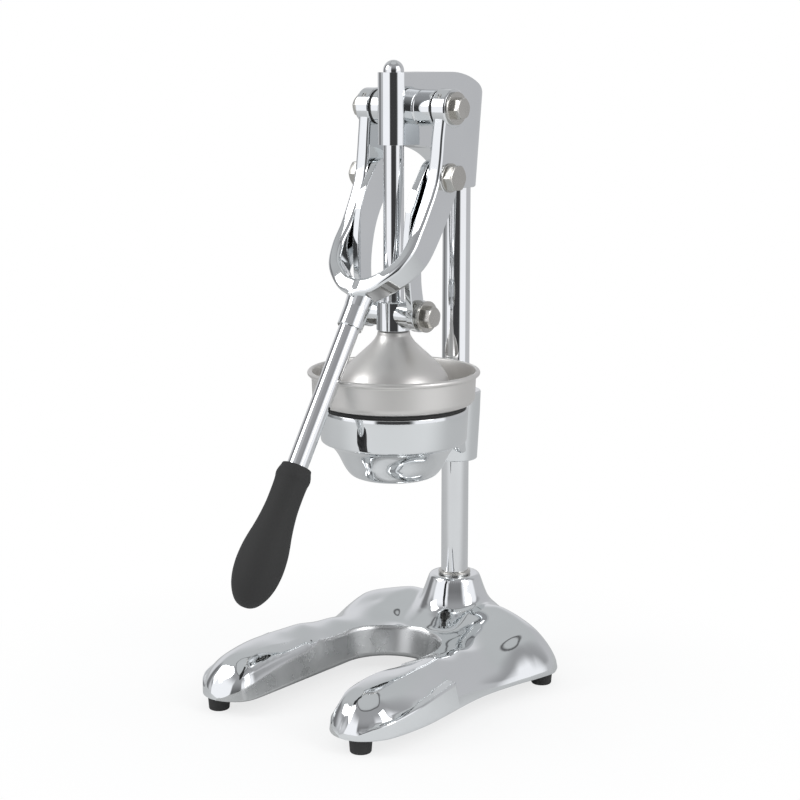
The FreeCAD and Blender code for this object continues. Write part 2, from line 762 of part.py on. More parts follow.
pocket(holder, screw_hole, clamp_r - post_dia / 2 + 6, towards_minus=False)
place(holder, y=ram_y, z=holder_top)
export(holder, "cup_holder")
export(set_screw("holder_set_screw", 7.96, clamp_r - post_dia / 2 - 0.4, origin,
                 post_y + post_dia / 2 + 0.05, holder_top - 20, BACKWARD), "holder_set_screw")
export(tube("cup_seat_ring", size("holder_dia") - 2, size("holder_dia") - 14, size("seat_ring_tall"),
            y=ram_y, z=holder_top), "cup_seat_ring")

# Strainer cup: rolled rim, straight wall, flat floor and a pierced cone in the middle
cup = new_body("strainer_cup")
cup_sketch = new_sketch(cup, "XZ_Plane")
cup_r = size("cup_dia") / 2
rim_r = size("cup_rim_dia") / 2
sheet_t = size("cup_wall")
cup_top = size("cup_tall")
outline(cup_sketch, [
    (0, 36.5), (6.0, 36.5, -9), (14.0, 32.0), (30.0, 18.0, -30), (41.0, 3.5), (42.5, sheet_t),
    (cup_r - 5.5, sheet_t, 4), (cup_r - sheet_t, 5.5), (cup_r - sheet_t + 1.0, cup_top - 1.6, -2.4),
    (rim_r - 2.3, cup_top, -2.3), (rim_r, cup_top - 2.3, -2.3), (rim_r - 2.3, cup_top - 4.6),
    (cup_r + 1.0, cup_top - 5.5), (cup_r, 5.0, -5), (cup_r - 5.0, 0), (40.0, 0),
    (39.6, 2.8, 30), (29.0, 16.8), (13.4, 30.5, 9), (5.6, 35.0), (0, 35.0)])
turn_about(cup, cup_sketch)
holes = new_sketch(cup, "XY_Plane", 40)
for across, dia in ((12.5, 3.6), (19.5, 4.2), (27.0, 4.6), (34.0, 4.8)):
    circle(holes, across, 0, dia)
pierce = pocket(cup, holes, 39.0)
doc.recompute()
ring = cup.newObject("PartDesign::PolarPattern", "cup_holes")
ring.Originals = [pierce]
ring.Axis = (holes, ["N_Axis"])
ring.Angle = 360
ring.Occurrences = 16
cup.Tip = ring
place(cup, y=ram_y, z=cup_foot + 0.02)
export(cup, "strainer_cup")

# Ram: rod, crosshead, press cone and the nut that holds the cone on
cross_half = size("crosshead_tall") / 2
cross_foot = low_z - cross_half - 2
cone_top = cross_foot - 0.5
rod_r = ram_dia / 2
tang_r = as_size(6.0)
ram_long = head_top + size("ram_proud") - cross_foot
ram = turned("ram_rod", [(0, -22.0), (tang_r - 1, -22.0), (tang_r, -21.0), (tang_r, 0), (rod_r, 0),
                         (rod_r, ram_long - rod_r, rod_r), (0, ram_long)], y=ram_y, z=cross_foot)
export(ram, "ram_rod")

crosshead = new_body("crosshead")
hub = new_sketch(crosshead, "XY_Plane", -(cross_half + 2))
circle(hub, 0, 0, size("crosshead_dia"))
pad(crosshead, hub, size("crosshead_tall"))
ears = new_sketch(crosshead, "YZ_Plane")
circle(ears, 0, 0, 24.0)
pad(crosshead, ears, (size("link_inner") - side_gap) * 2, both_ways=True)
round_edges(crosshead, 1.2, lambda m, e: abs(abs(m.x) - size("link_inner").value + side_gap.value) < 0.01)
rod_bore = new_sketch(crosshead, "XY_Plane", 20)
circle(rod_bore, 0, 0, ram_dia + seat_gap * 2)
pocket(crosshead, rod_bore, 40.0)
for right in (True, False):
    pin_bore = new_sketch(crosshead, "YZ_Plane", signed(right, size("link_inner") + 1))
    circle(pin_bore, 0, 0, size("link_pin_dia"))
    pocket(crosshead, pin_bore, size("link_inner") - 11, towards_minus=right)
front_hole = new_sketch(crosshead, "XZ_Plane", size("crosshead_dia") / 2 + 2)
circle(front_hole, 0, -4.0, 6.0)
pocket(crosshead, front_hole, size("crosshead_dia") / 2 + 2 - rod_r + 0.5)
place(crosshead, y=ram_y, z=low_z)
export(crosshead, "crosshead")
export(set_screw("crosshead_set_screw", 5.96, size("crosshead_dia") / 2 - rod_r - 0.6, origin,
                 ram_y - rod_r - 0.05, low_z - 4, FORWARD), "crosshead_set_screw")

bell_r = size("bell_dia") / 2
bell_t = size("bell_wall")
bell_z = -size("bell_tall")
bell = turned("press_cone", [
    (tang_r + 0.05, 0), (14.0, 0), (14.2, -2.0, 20), (19.5, -10.0, -260), (bell_r - 13, bell_z + 26, -46),
    (bell_r - 1.6, bell_z + 11, -40), (bell_r, bell_z + 1), (bell_r - 0.6, bell_z), (bell_r - bell_t, bell_z),
    (bell_r - bell_t - 1.2, bell_z + 9.5, 44), (bell_r - 15, bell_z + 24), (17.5, -13.0),
    (14.0, -11.0), (tang_r + 0.05, -11.0)], y=ram_y, z=cone_top)
export(bell, "press_cone")
lock_nut = new_body("cone_lock_nut")
lock_sketch = new_sketch(lock_nut, "XY_Plane")
outline(lock_sketch, [(as_size(10.4) * math.cos(math.radians(60 * i)),
                       as_size(10.4) * math.sin(math.radians(60 * i))) for i in range(6)])
circle(lock_sketch, 0, 0, tang_r * 2 + 0.06)
pad(lock_nut, lock_sketch, 7.0)
place(lock_nut, y=ram_y, z=cone_top - 18.05)
export(lock_nut, "cone_lock_nut")

# Lever fork: two curved arms with end rings, joined below in a socket for the handle
FORK_STATIONS = [
    # sideways middle, ahead of the pivot, below the pivot, width, thickness
    (41.0, 0.0, 4.0, 27.0, 13.0),
    (40.5, 0.6, 24.0, 31.0, 13.0),
    (40.2, 2.6, 44.0, 31.5, 13.5),
    (39.8, 6.6, 64.0, 31.0, 13.5),
    (39.6, 12.6, 78.0, 30.5, 13.5),
    (39.4, 20.0, 91.0, 29.5, 13.0),
    (39.2, 30.0, 107.0, 28.5, 12.5),
    (39.4, 42.5, 122.5, 26.0, 12.0),
    (34.2, 55.2, 135.5, 22.5, 12.0),
    (22.5, 63.0, 145.0, 22.0, 13.0),
    (8.0, 66.5, 151.5, 23.0, 15.0),
    (-4.0, 69.5, 155.5, 22.5, 15.5),
]


def rounded_section(centre, normal, across, width, thick, radius):
    """Rounded rectangle about a point, square to the normal."""
    normal = FreeCAD.Vector(normal).normalize()
    across = (across - normal * across.dot(normal)).normalize()
    along = normal.cross(across).normalize()

    def spot(a, b):
        return centre + across * a + along * b

    a, b, r = width / 2, thick / 2, radius
    k = r * (1 - math.sqrt(0.5))
    lines = [((a - r, -b), (-a + r, -b)), ((-a, -b + r), (-a, b - r)),
             ((-a + r, b), (a - r, b)), ((a, b - r), (a, -b + r))]
    arcs = [((-a + r, -b), (-a + k, -b + k), (-a, -b + r)), ((-a, b - r), (-a + k, b - k), (-a + r, b)),
            ((a - r, b), (a - k, b - k), (a, b - r)), ((a, -b + r), (a - k, -b + k), (a - r, -b))]
    edges = []
    for line, arc in zip(lines, arcs):
        edges.append(Part.LineSegment(spot(*line[0]), spot(*line[1])).toShape())
        edges.append(Part.Arc(spot(*arc[0]), spot(*arc[1]), spot(*arc[2])).toShape())
    return Part.Wire(edges)


def fork_arm(pivot):
    """The right-hand arm as one skin through its stations."""
    spots = [FreeCAD.Vector(x, pivot.y - ahead, pivot.z - below)
             for x, ahead, below, width, thick in FORK_STATIONS]
    wires = []
    for i, station in enumerate(FORK_STATIONS):
        before = spots[max(i - 1, 0)]
        after = spots[min(i + 1, len(spots) - 1)]
        forward = after - before
        flat = FreeCAD.Vector(0, forward.y, forward.z)
        across = FreeCAD.Vector(1, 0, 0).cross(flat).normalize()
        wires.append(rounded_section(spots[i], forward, across, station[3], station[4], 3.6))
    return Part.makeLoft(wires, True, False)


def along_x(radius, start, end, centre):
    low = min(start, end)
    return Part.makeCylinder(radius, abs(end - start), FreeCAD.Vector(low, centre.y, centre.z),
                             FreeCAD.Vector(1, 0, 0))


def disc_with_chamfer(radius, start, end, centre, bevel):
    """Round pad along +X whose outer rim is bevelled."""
    body = along_x(radius, start, end - bevel, centre)
    cone = Part.makeCone(radius, radius - bevel, bevel, FreeCAD.Vector(end - bevel, centre.y, centre.z),
                         FreeCAD.Vector(1, 0, 0))
    return body.fuse(cone)


handle_angle = math.radians(value("handle_lean"))
handle_down = FreeCAD.Vector(0, -math.sin(handle_angle), -math.cos(handle_angle))
handle_y = pivot_y - size("handle_ahead")
handle_z = pivot_z - size("handle_below")
SOCKET_TOP = 46.0
SOCKET_END = 8.0
ring_in = size("ring_inner")
ring_out = size("ring_outer")
RING_SCREW = (50.0, 16.0)
ARM_SCREW = (81.0, 14.5)


def from_pivot(angle, distance, centre):
    """Point and direction of a screw set square to the X axis around a centre."""
    turn = math.radians(angle)
    way = FreeCAD.Vector(0, -math.sin(turn), math.cos(turn))
    return centre + way * distance, way


def lever_fork():
    pivot = FreeCAD.Vector(0, pivot_y.value, pivot_z.value)
    middle = FreeCAD.Vector(0, mid_y.value, mid_z.value)
    low = FreeCAD.Vector(0, handle_y.value, handle_z.value)
    shape = fork_arm(pivot)
    shape = shape.fuse(disc_with_chamfer(value("ring_dia") / 2, ring_in.value, ring_out.value, pivot, 1.0))
    shape = shape.fuse(disc_with_chamfer(14.5, value("arm_inner"), value("arm_outer") + 2, middle, 1.5))
    shape = shape.common(Part.makeBox(90, 400, 400, FreeCAD.Vector(0, -200, pivot.z - 300)))
    out_r = value("socket_out_dia") / 2
    start = low - handle_down * SOCKET_TOP
    sleeve = Part.makeCone(out_r + 2.0, out_r, 16, start, handle_down)
    sleeve = sleeve.fuse(Part.makeCylinder(out_r, SOCKET_TOP - SOCKET_END - 16, start + handle_down * 16,
                                           handle_down))
    half_sleeve = sleeve.common(Part.makeBox(90, 400, 400, FreeCAD.Vector(0, -200, pivot.z - 300)))
    shape = shape.fuse(half_sleeve)
    shape = shape.fuse(shape.mirror(FreeCAD.Vector(0, 0, 0), FreeCAD.Vector(1, 0, 0))).removeSplitter()
    bore_r = value("handle_dia") / 2 + seat_gap.value
    shape = shape.cut(Part.makeCylinder(bore_r, 60, low - handle_down * 38, handle_down))
    shape = shape.cut(along_x(value("shaft_dia") / 2 + seat_gap.value, -70, 70, pivot))
    shape = shape.cut(along_x(value("link_pin_dia") / 2 + seat_gap.value, -70, 70, middle))
    for side in (-1, 1):
        for (angle, distance), centre in ((RING_SCREW, pivot), (ARM_SCREW, middle)):
            spot, way = from_pivot(angle, distance, centre)
            spot = spot + FreeCAD.Vector(side * 41, 0, 0)
            shape = shape.cut(Part.makeCylinder(3.0, 12, spot - way * 6, way))
    pin = low - handle_down * 22
    shape = shape.cut(along_x(2.02, -30, 30, pin))
    return shape


fork = doc.addObject("Part::Feature", "lever_fork")
fork.Shape = lever_fork()
export(fork, "lever_fork")

# Screws in the fork
fork_screws = []
for side in (-1, 1):
    for (angle, distance), (cy, cz) in ((RING_SCREW, (pivot_y, pivot_z)), (ARM_SCREW, (mid_y, mid_z))):
        turn = math.radians(angle)
        inner = distance - 5.8
        fork_screws.append(set_screw(
            f"fork_set_screw_{len(fork_screws) + 1}", 5.96, 6.8, as_size(side * 41.0),
            cy - as_size(inner * math.sin(turn)), cz + as_size(inner * math.cos(turn)),
            ((1, 0, 0), as_size(angle))))
group("fork_set_screws", fork_screws)

# Handle rod, its pin and the grip
handle_turn = ((1, 0, 0), as_size(180) - size("handle_lean"))
grip_start = size("grip_start")
handle_r = size("handle_dia") / 2
rod = turned("handle_rod", [(0, -37.5), (handle_r - 1, -37.5), (handle_r, -36.5), (handle_r, grip_start + 5),
                            (as_size(6.0), grip_start + 5), (as_size(6.0), grip_start + 79),
                            (as_size(5.0), grip_start + 80), (0, grip_start + 80)],
             y=handle_y, z=handle_z, turn=handle_turn)
pin_hole = new_sketch(rod, "YZ_Plane")
circle(pin_hole, 0, -22.0, 4.04)
pocket(rod, pin_hole, 40.0, both_ways=True)
export(rod, "handle_rod")
pin_half = size("socket_out_dia") / 2 - 0.2
handle_pin = turned("handle_pin", [(0, -pin_half), (as_size(1.7), -pin_half), (as_size(2.0), 0.4 - pin_half),
                                   (as_size(2.0), pin_half - 0.4), (as_size(1.7), pin_half), (0, pin_half)],
                    y=handle_y + as_size(22) * sine(size("handle_lean")),
                    z=handle_z + as_size(22) * cosine(size("handle_lean")), turn=ALONG_X)
export(handle_pin, "handle_pin")

grip_end = grip_start + size("grip_length")
waist_r = size("grip_waist_dia") / 2
bulb_r = size("grip_bulb_dia") / 2
grip = turned("hand_grip", [
    (handle_r + seat_gap, grip_start), (waist_r - 1.4, grip_start), (waist_r + 0.8, grip_start + 8.5, 3),
    (waist_r + 0.9, grip_start + 11, 30), (waist_r, grip_start + 20, -160), (waist_r + 0.4, grip_start + 38, -110),
    (waist_r + 3.4, grip_start + 60, 60), (bulb_r, grip_end - 37, 30), (bulb_r - 5.4, grip_end - 9, 13),
    (1.5, grip_end), (0, grip_end), (0, grip_start + 82), (as_size(6.0) + seat_gap, grip_start + 82),
    (as_size(6.0) + seat_gap, grip_start + 6), (handle_r + seat_gap, grip_start + 6)],
    y=handle_y, z=handle_z, turn=handle_turn)
export(grip, "hand_grip")

# Head pivot: a shaft that turns with the fork, a washer and a hexagon bolt at each end
shaft_r = size("shaft_dia") / 2
shaft_half = ring_out - 0.4
export(turned("pivot_shaft", [
    (0, -shaft_half + 20), (as_size(5.0), -shaft_half + 20), (as_size(5.0), -shaft_half),
    (shaft_r - 0.6, -shaft_half), (shaft_r, 0.6 - shaft_half), (shaft_r, shaft_half - 0.6),
    (shaft_r - 0.6, shaft_half), (as_size(5.0), shaft_half), (as_size(5.0), shaft_half - 20),
    (0, shaft_half - 20)], y=pivot_y, z=pivot_z, turn=ALONG_X), "pivot_shaft")
bolts = []
washers = []
mid_bolts = []
mid_washers = []
washer_t = as_size(2.4)
mid_face = size("arm_outer") + 2
for right in (True, False):
    number = len(bolts) + 1
    washers.append(tube(f"pivot_washer_{number}", 28.0, 10.6, washer_t, signed(right, ring_out),
                        pivot_y, pivot_z, sideways(right)))
    bolts.append(hex_bolt(f"pivot_bolt_{number}", 17.0, 7.0, 9.96, 18.0, signed(right, ring_out + washer_t),
                          pivot_y, pivot_z, right, 10))
    mid_washers.append(tube(f"mid_pivot_washer_{number}", 25.0, 12.5, 1.6, signed(right, mid_face),
                            mid_y, mid_z, sideways(right)))
    mid_bolts.append(hex_bolt(f"mid_pivot_bolt_{number}", 21.0, 8.0, size("link_pin_dia"),
                              mid_face + 1.6 - size("link_inner") - 0.4, signed(right, mid_face + 1.6),
                              mid_y, mid_z, right, 0))
group("pivot_washers", washers)
group("pivot_bolts", bolts)
group("mid_pivot_washers", mid_washers)
group("mid_pivot_bolts", mid_bolts)

# Links, each with the bolt and washers at its lower end
eye_low = as_size(13.7)
eye_top = as_size(14.8)
link_in = size("link_inner")
link_t = size("link_thick")
for right, word in ((True, "right"), (False, "left")):
    link = new_body(word + "_link")
    link_sketch = new_sketch(link, "YZ_Plane")
    top_y = link_run
    top_z = link_drop
    outline(link_sketch, [
        (-12.6, 5.38, -150), (top_y - eye_top * 0.83, top_z + eye_top * 0.5578, -eye_top),
        (top_y + eye_top * 0.35, top_z + eye_top * 0.93675, -eye_top),
        (top_y + eye_top * 0.83, top_z - eye_top * 0.5578, 104), (2.0, 13.553, -eye_low),
        (eye_low, 0, -eye_low), (0, -eye_low, -eye_low)])
    pad(link, link_sketch, link_t, towards_minus=not right)
    round_edges(link, 0.7, lambda m, e: e.Length > 15 and abs(abs(m.x) - link_t.value) < 0.01)
    for across, up, fit in ((top_y, top_z, run_gap), (origin, origin, seat_gap)):
        eye = new_sketch(link, "YZ_Plane", signed(right, link_t + 2))
        circle(eye, across, up, size("link_pin_dia") + fit * 2)
        pocket(link, eye, link_t + 4, towards_minus=right)
    place(link, signed(right, link_in), ram_y, low_z)
    export(link, word + "_link")
    outer_face = link_in + link_t
    spacer = tube(word + "_spacer_washer", 22.0, 12.5, 4.2, signed(right, outer_face + 0.1), ram_y, low_z,
                  sideways(right))
    wide = tube(word + "_wide_washer", 27.4, 12.5, 2.4, signed(right, outer_face + 4.35), ram_y, low_z,
                sideways(right))
    group(word + "_link_washers", [spacer, wide])
    export(hex_bolt(word + "_link_bolt", 17.0, 7.0, size("link_pin_dia"), link_t + 6.65,
                    signed(right, outer_face + 6.8), ram_y, low_z, right, 15), word + "_link_bolt")

doc.recompute()
for thing in doc.Objects:
    for state in thing.State:
        if state in ("Invalid", "Error"):
            raise RuntimeError(thing.Label + " didn't compute")
os.makedirs("parts", exist_ok=True)
for label, piece in exported:
    if piece.Shape.isNull() or not piece.Shape.isValid():
        raise RuntimeError(label + " has no sound shape")
for label, piece in exported:
    piece.Shape.exportStep("parts/" + label + ".step")
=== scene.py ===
import math

import bmesh
import bpy
import numpy as np
from bpy.props import FloatProperty, FloatVectorProperty, PointerProperty
from mathutils import Matrix, Vector
from mathutils.geometry import delaunay_2d_cdt


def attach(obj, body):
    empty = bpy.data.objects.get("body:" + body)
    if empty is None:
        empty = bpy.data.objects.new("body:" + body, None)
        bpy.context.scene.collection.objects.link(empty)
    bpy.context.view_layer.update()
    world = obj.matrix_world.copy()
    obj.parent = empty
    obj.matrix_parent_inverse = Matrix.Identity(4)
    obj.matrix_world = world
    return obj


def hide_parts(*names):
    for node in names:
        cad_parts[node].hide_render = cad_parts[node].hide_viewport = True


bl_info = {
    "name": "Lever citrus press",
    "version": (1, 0, 0),
    "blender": (4, 5, 0),
    "location": "View3D > Sidebar > Press",
    "description": "Builds the looks of a chromed lever citrus press around its packed frame",
    "category": "Object",
}

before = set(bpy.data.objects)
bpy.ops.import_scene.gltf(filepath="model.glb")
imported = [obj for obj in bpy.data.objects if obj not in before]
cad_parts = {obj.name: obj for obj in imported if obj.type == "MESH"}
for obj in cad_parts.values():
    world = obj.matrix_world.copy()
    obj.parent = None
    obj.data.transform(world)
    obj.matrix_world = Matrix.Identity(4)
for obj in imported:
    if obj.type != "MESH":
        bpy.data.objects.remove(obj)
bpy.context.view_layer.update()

# Driving places of the mechanism at rest, in millimetres in the frame's own axes: (y, z) pairs
MM = 0.001
POST_Y = 129.5
RAM_Y = 38.5
PIVOT = (61.5, 515.0)
MID = (56.40, 456.72)
LOW = (38.5, 338.57)
HANDLE = (-25.9, 325.9)
LEAN = math.radians(32.4)
# The way down the handle, and the (x, y) of the four feet
DOWN = (0, -math.sin(LEAN), -math.cos(LEAN))
FEET = ((80.0, -105.5), (-80.0, -105.5), (104.0, 122.5), (-104.0, 122.5))
# How far the camera is turned round the object and tipped down, in degrees
CAMERA_TURN = 38.36
CAMERA_DROP = 11.03


# Meshes: every outline is in millimetres

def finish_mesh(name, verts, faces, body, material, sharp=32.0, matrix=None):
    """Object from plain vertices and faces, cleaned, turned outwards and dressed."""
    mesh = bpy.data.meshes.new(name)
    mesh.from_pydata([(x * MM, y * MM, z * MM) for x, y, z in verts], [], faces)
    bm = bmesh.new()
    bm.from_mesh(mesh)
    bmesh.ops.remove_doubles(bm, verts=bm.verts, dist=1e-6)
    bmesh.ops.dissolve_degenerate(bm, edges=bm.edges, dist=1e-7)
    bmesh.ops.recalc_face_normals(bm, faces=bm.faces)
    bm.to_mesh(mesh)
    bm.free()
    if matrix is not None:
        scaled = matrix.copy()
        scaled.translation = scaled.translation * MM
        mesh.transform(scaled)
    return dress(bpy.data.objects.new(name, mesh), body, material, sharp)


def dress(piece, body, material, sharp=32.0):
    """Shades a piece, gives it its material and, where a body is named, sets it on that body."""
    mesh = piece.data
    for polygon in mesh.polygons:
        polygon.use_smooth = True
    mesh.set_sharp_from_angle(angle=math.radians(sharp))
    mesh.materials.clear()
    mesh.materials.append(material)
    if piece.name not in bpy.context.scene.collection.all_objects:
        bpy.context.scene.collection.objects.link(piece)
    if body:
        even_normals(piece)
        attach(piece, body)
    return piece


def even_normals(piece):
    """Shades by face area, so that flat faces stay flat beside their rounded rims."""
    weigh = piece.modifiers.new("weigh", "WEIGHTED_NORMAL")
    weigh.mode = "FACE_AREA"
    weigh.weight = 50
    weigh.keep_sharp = True
    bake(piece)


def rounded(points, steps=5):
    """Polygon from (a, b) or (a, b, radius) corners, each radius turned into an arc."""
    out = []
    count = len(points)
    for i, point in enumerate(points):
        here = Vector(point[:2])
        if len(point) < 3 or point[2] <= 0:
            out.append(here)
            continue
        before = Vector(points[i - 1][:2]) - here
        after = Vector(points[(i + 1) % count][:2]) - here
        angle = before.angle(after)
        reach = min(point[2] / math.tan(angle / 2), before.length * 0.49, after.length * 0.49)
        radius = reach * math.tan(angle / 2)
        start = here + before.normalized() * reach
        end = here + after.normalized() * reach
        centre = here + (before.normalized() + after.normalized()).normalized() * (
            radius / math.sin(angle / 2))
        first, last = start - centre, end - centre
        turn = first.angle_signed(last)
        for k in range(steps + 1):
            spin = Matrix.Rotation(-turn * k / steps, 2)
            out.append(centre + spin @ first)
    return out


def smooth_line(points, per=8):
    """Catmull-Rom line through (a, b) points."""
    pts = [Vector(p) for p in points]
    pts = [pts[0] * 2 - pts[1]] + pts + [pts[-1] * 2 - pts[-2]]
    out = []
    for i in range(1, len(pts) - 2):
        p0, p1, p2, p3 = pts[i - 1:i + 3]
        for k in range(per):
            t = k / per
            out.append(0.5 * (2 * p1 + (p2 - p0) * t + (2 * p0 - 5 * p1 + 4 * p2 - p3) * t * t
                              + (3 * p1 - p0 - 3 * p2 + p3) * t ** 3))
    out.append(pts[-2])
    return out


def lathe(name, profile, body, material, at=(0, 0, 0), axis=(0, 0, 1), segments=128, sharp=32.0):
    """Turns a closed (radius, height) outline about an axis through a point."""
    verts = []
    faces = []
    count = len(profile)
    for s in range(segments):
        a = 2 * math.pi * s / segments
        for r, h in profile:
            r = max(r, 0.0)
            verts.append((r * math.cos(a), r * math.sin(a), h))
    for s in range(segments):
        t = (s + 1) % segments
        for k in range(count):
            m = (k + 1) % count
            if profile[k][0] <= 1e-6 and profile[m][0] <= 1e-6:
                continue
            faces.append((s * count + k, t * count + k, t * count + m, s * count + m))
    turn = Vector((0, 0, 1)).rotation_difference(Vector(axis)).to_matrix().to_4x4()
    return finish_mesh(name, verts, faces, body, material, sharp, Matrix.Translation(Vector(at)) @ turn)


def ribbon_faces(rings):
    """Quads between neighbouring rings of vertex numbers."""
    faces = []
    for i in range(len(rings) - 1):
        count = len(rings[i])
        for k in range(count):
            m = (k + 1) % count
            faces.append((rings[i][k], rings[i][m], rings[i + 1][m], rings[i + 1][k]))
    return faces


def loft(name, sections, body, material, sharp=40.0):
    """Closed skin through sections of equally many points, capped at both ends."""
    verts = []
    rings = []
    for section in sections:
        rings.append(list(range(len(verts), len(verts) + len(section))))
        verts.extend(section)
    faces = ribbon_faces(rings)
    faces.append(tuple(reversed(rings[0])))
    faces.append(tuple(rings[-1]))
    return finish_mesh(name, verts, faces, body, material, sharp)


def inset_loop(loop, distance):
    """Closed loop moved inwards (for a counter-clockwise loop)."""
    out = []
    count = len(loop)
    for i in range(count):
        before = (loop[i] - loop[i - 1])
        after = (loop[(i + 1) % count] - loop[i])
        n1 = Vector((-before.y, before.x)).normalized()
        n2 = Vector((-after.y, after.x)).normalized()
        n = n1 + n2
        if n.length < 1e-6:
            n = n1
        n.normalize()
        out.append(loop[i] + n * (distance / max(n.dot(n1), 0.5)))
    return out


def plate(name, loop, low, high, edge, body, material, sharp=40.0):
    """Upright plate between two x positions, cut to a closed (y, z) outline with rounded rims."""
    loop = [Vector(p) for p in loop]
    area = sum(loop[i - 1].x * loop[i].y - loop[i].x * loop[i - 1].y for i in range(len(loop)))
    if area < 0:
        loop.reverse()
    levels = []
    steps = 4
    for k in range(steps + 1):
        a = math.pi / 2 * k / steps
        levels.append((edge * (1 - math.sin(a)), low + edge * (1 - math.cos(a))))
    for k in range(steps + 1):
        a = math.pi / 2 * (1 - k / steps)
        levels.append((edge * (1 - math.sin(a)), high - edge * (1 - math.cos(a))))
    sections = []
    for inset, level in levels:
        ring = inset_loop(loop, inset) if inset > 1e-6 else loop
        sections.append([(level, p.x, p.y) for p in ring])
    return loft(name, sections, body, material, sharp)


def circle_points(radius, centre, start, end, steps):
    """Points on an arc, from one angle to another in degrees."""
    points = []
    for k in range(steps + 1):
        a = math.radians(start + (end - start) * k / steps)
        points.append(Vector((centre[0] + radius * math.cos(a), centre[1] + radius * math.sin(a))))
    return points


def join(name, pieces):
    """One mesh from several, for castings whose parts run into each other."""
    bm = bmesh.new()
    for piece in pieces:
        bm.from_mesh(piece.data)
    mesh = pieces[0].data
    bm.to_mesh(mesh)
    bm.free()
    for piece in pieces[1:]:
        bpy.data.objects.remove(piece)
    pieces[0].name = name
    return pieces[0]


def combine(piece, tool, operation, bevel=0.0, limit=30.0):
    """Exact boolean of two meshes, with an optional bevel on what is left sharp."""
    change = piece.modifiers.new("join", "BOOLEAN")
    change.operation = operation
    change.solver = "EXACT"
    change.object = tool
    if bevel:
        soften = piece.modifiers.new("soften", "BEVEL")
        soften.width = bevel * MM
        soften.segments = 4
        soften.limit_method = "ANGLE"
        soften.angle_limit = math.radians(limit)
    bake(piece)
    bpy.data.objects.remove(tool)


def bake(piece):
    """Turns what the modifiers make into the piece's plain mesh."""
    graph = bpy.context.evaluated_depsgraph_get()
    graph.update()
    old = piece.data
    piece.data = bpy.data.meshes.new_from_object(piece.evaluated_get(graph))
    piece.modifiers.clear()
    bpy.data.meshes.remove(old)


# Materials

def new_material(name):
    """Material of that name, with its tree and shader, or with None for both where it was made before."""
    material = bpy.data.materials.get(name)
    if material:
        return material, None, None
    material = bpy.data.materials.new(name)
    material.use_nodes = True
    return material, material.node_tree, material.node_tree.nodes["Principled BSDF"]


def noise_between(tree, scale, detail, low, high, stretch=(1, 1, 1)):
    """Noise in object coordinates, mapped to a range. Returns the output socket."""
    coords = tree.nodes.new("ShaderNodeTexCoord")
    mapping = tree.nodes.new("ShaderNodeMapping")
    mapping.inputs["Scale"].default_value = stretch
    noise = tree.nodes.new("ShaderNodeTexNoise")
    noise.inputs["Scale"].default_value = scale
    noise.inputs["Detail"].default_value = detail
    spread = tree.nodes.new("ShaderNodeMapRange")
    spread.inputs["From Min"].default_value = 0.3
    spread.inputs["From Max"].default_value = 0.7
    spread.inputs["To Min"].default_value = low
    spread.inputs["To Max"].default_value = high
    tree.links.new(coords.outputs["Object"], mapping.inputs["Vector"])
    tree.links.new(mapping.outputs["Vector"], noise.inputs["Vector"])
    tree.links.new(noise.outputs["Fac"], spread.inputs["Value"])
    return spread.outputs["Result"]


def tint(tree, factor, first, second):
    """Colour that goes from the first to the second as the factor rises."""
    ramp = tree.nodes.new("ShaderNodeValToRGB")
    ramp.color_ramp.elements[0].color = (*first, 1)
    ramp.color_ramp.elements[1].color = (*second, 1)
    tree.links.new(factor, ramp.inputs["Fac"])
    return ramp.outputs["Color"]


def bump(tree, shader, height, strength, distance):
    """Relief from a height socket, in metres at full strength."""
    node = tree.nodes.new("ShaderNodeBump")
    node.inputs["Strength"].default_value = strength
    node.inputs["Distance"].default_value = distance
    tree.links.new(height, node.inputs["Height"])
    tree.links.new(node.outputs["Normal"], shader.inputs["Normal"])


def metal(name, light, dark, rough, waves=0.0, wave_scale=30.0, stretch=(1, 1, 1), grain=0.0,
          grain_scale=900.0):
    """Plated or bare metal with faint stains, uneven polish and a casting's slight waves."""
    material, tree, shader = new_material(name)
    if tree is None:
        return material
    shader.inputs["Metallic"].default_value = 1.0
    tree.links.new(noise_between(tree, 55.0, 4.0, rough[0], rough[1]), shader.inputs["Roughness"])
    patch = noise_between(tree, 14.0, 3.0, 0.0, 1.0)
    tree.links.new(tint(tree, patch, dark, light), shader.inputs["Base Color"])
    if waves:
        bump(tree, shader, noise_between(tree, wave_scale, 1.5, 0.0, 1.0), waves, 0.001)
    if grain:
        bump(tree, shader, noise_between(tree, grain_scale, 2.0, 0.0, 1.0, stretch), grain, 0.0002)
    return material


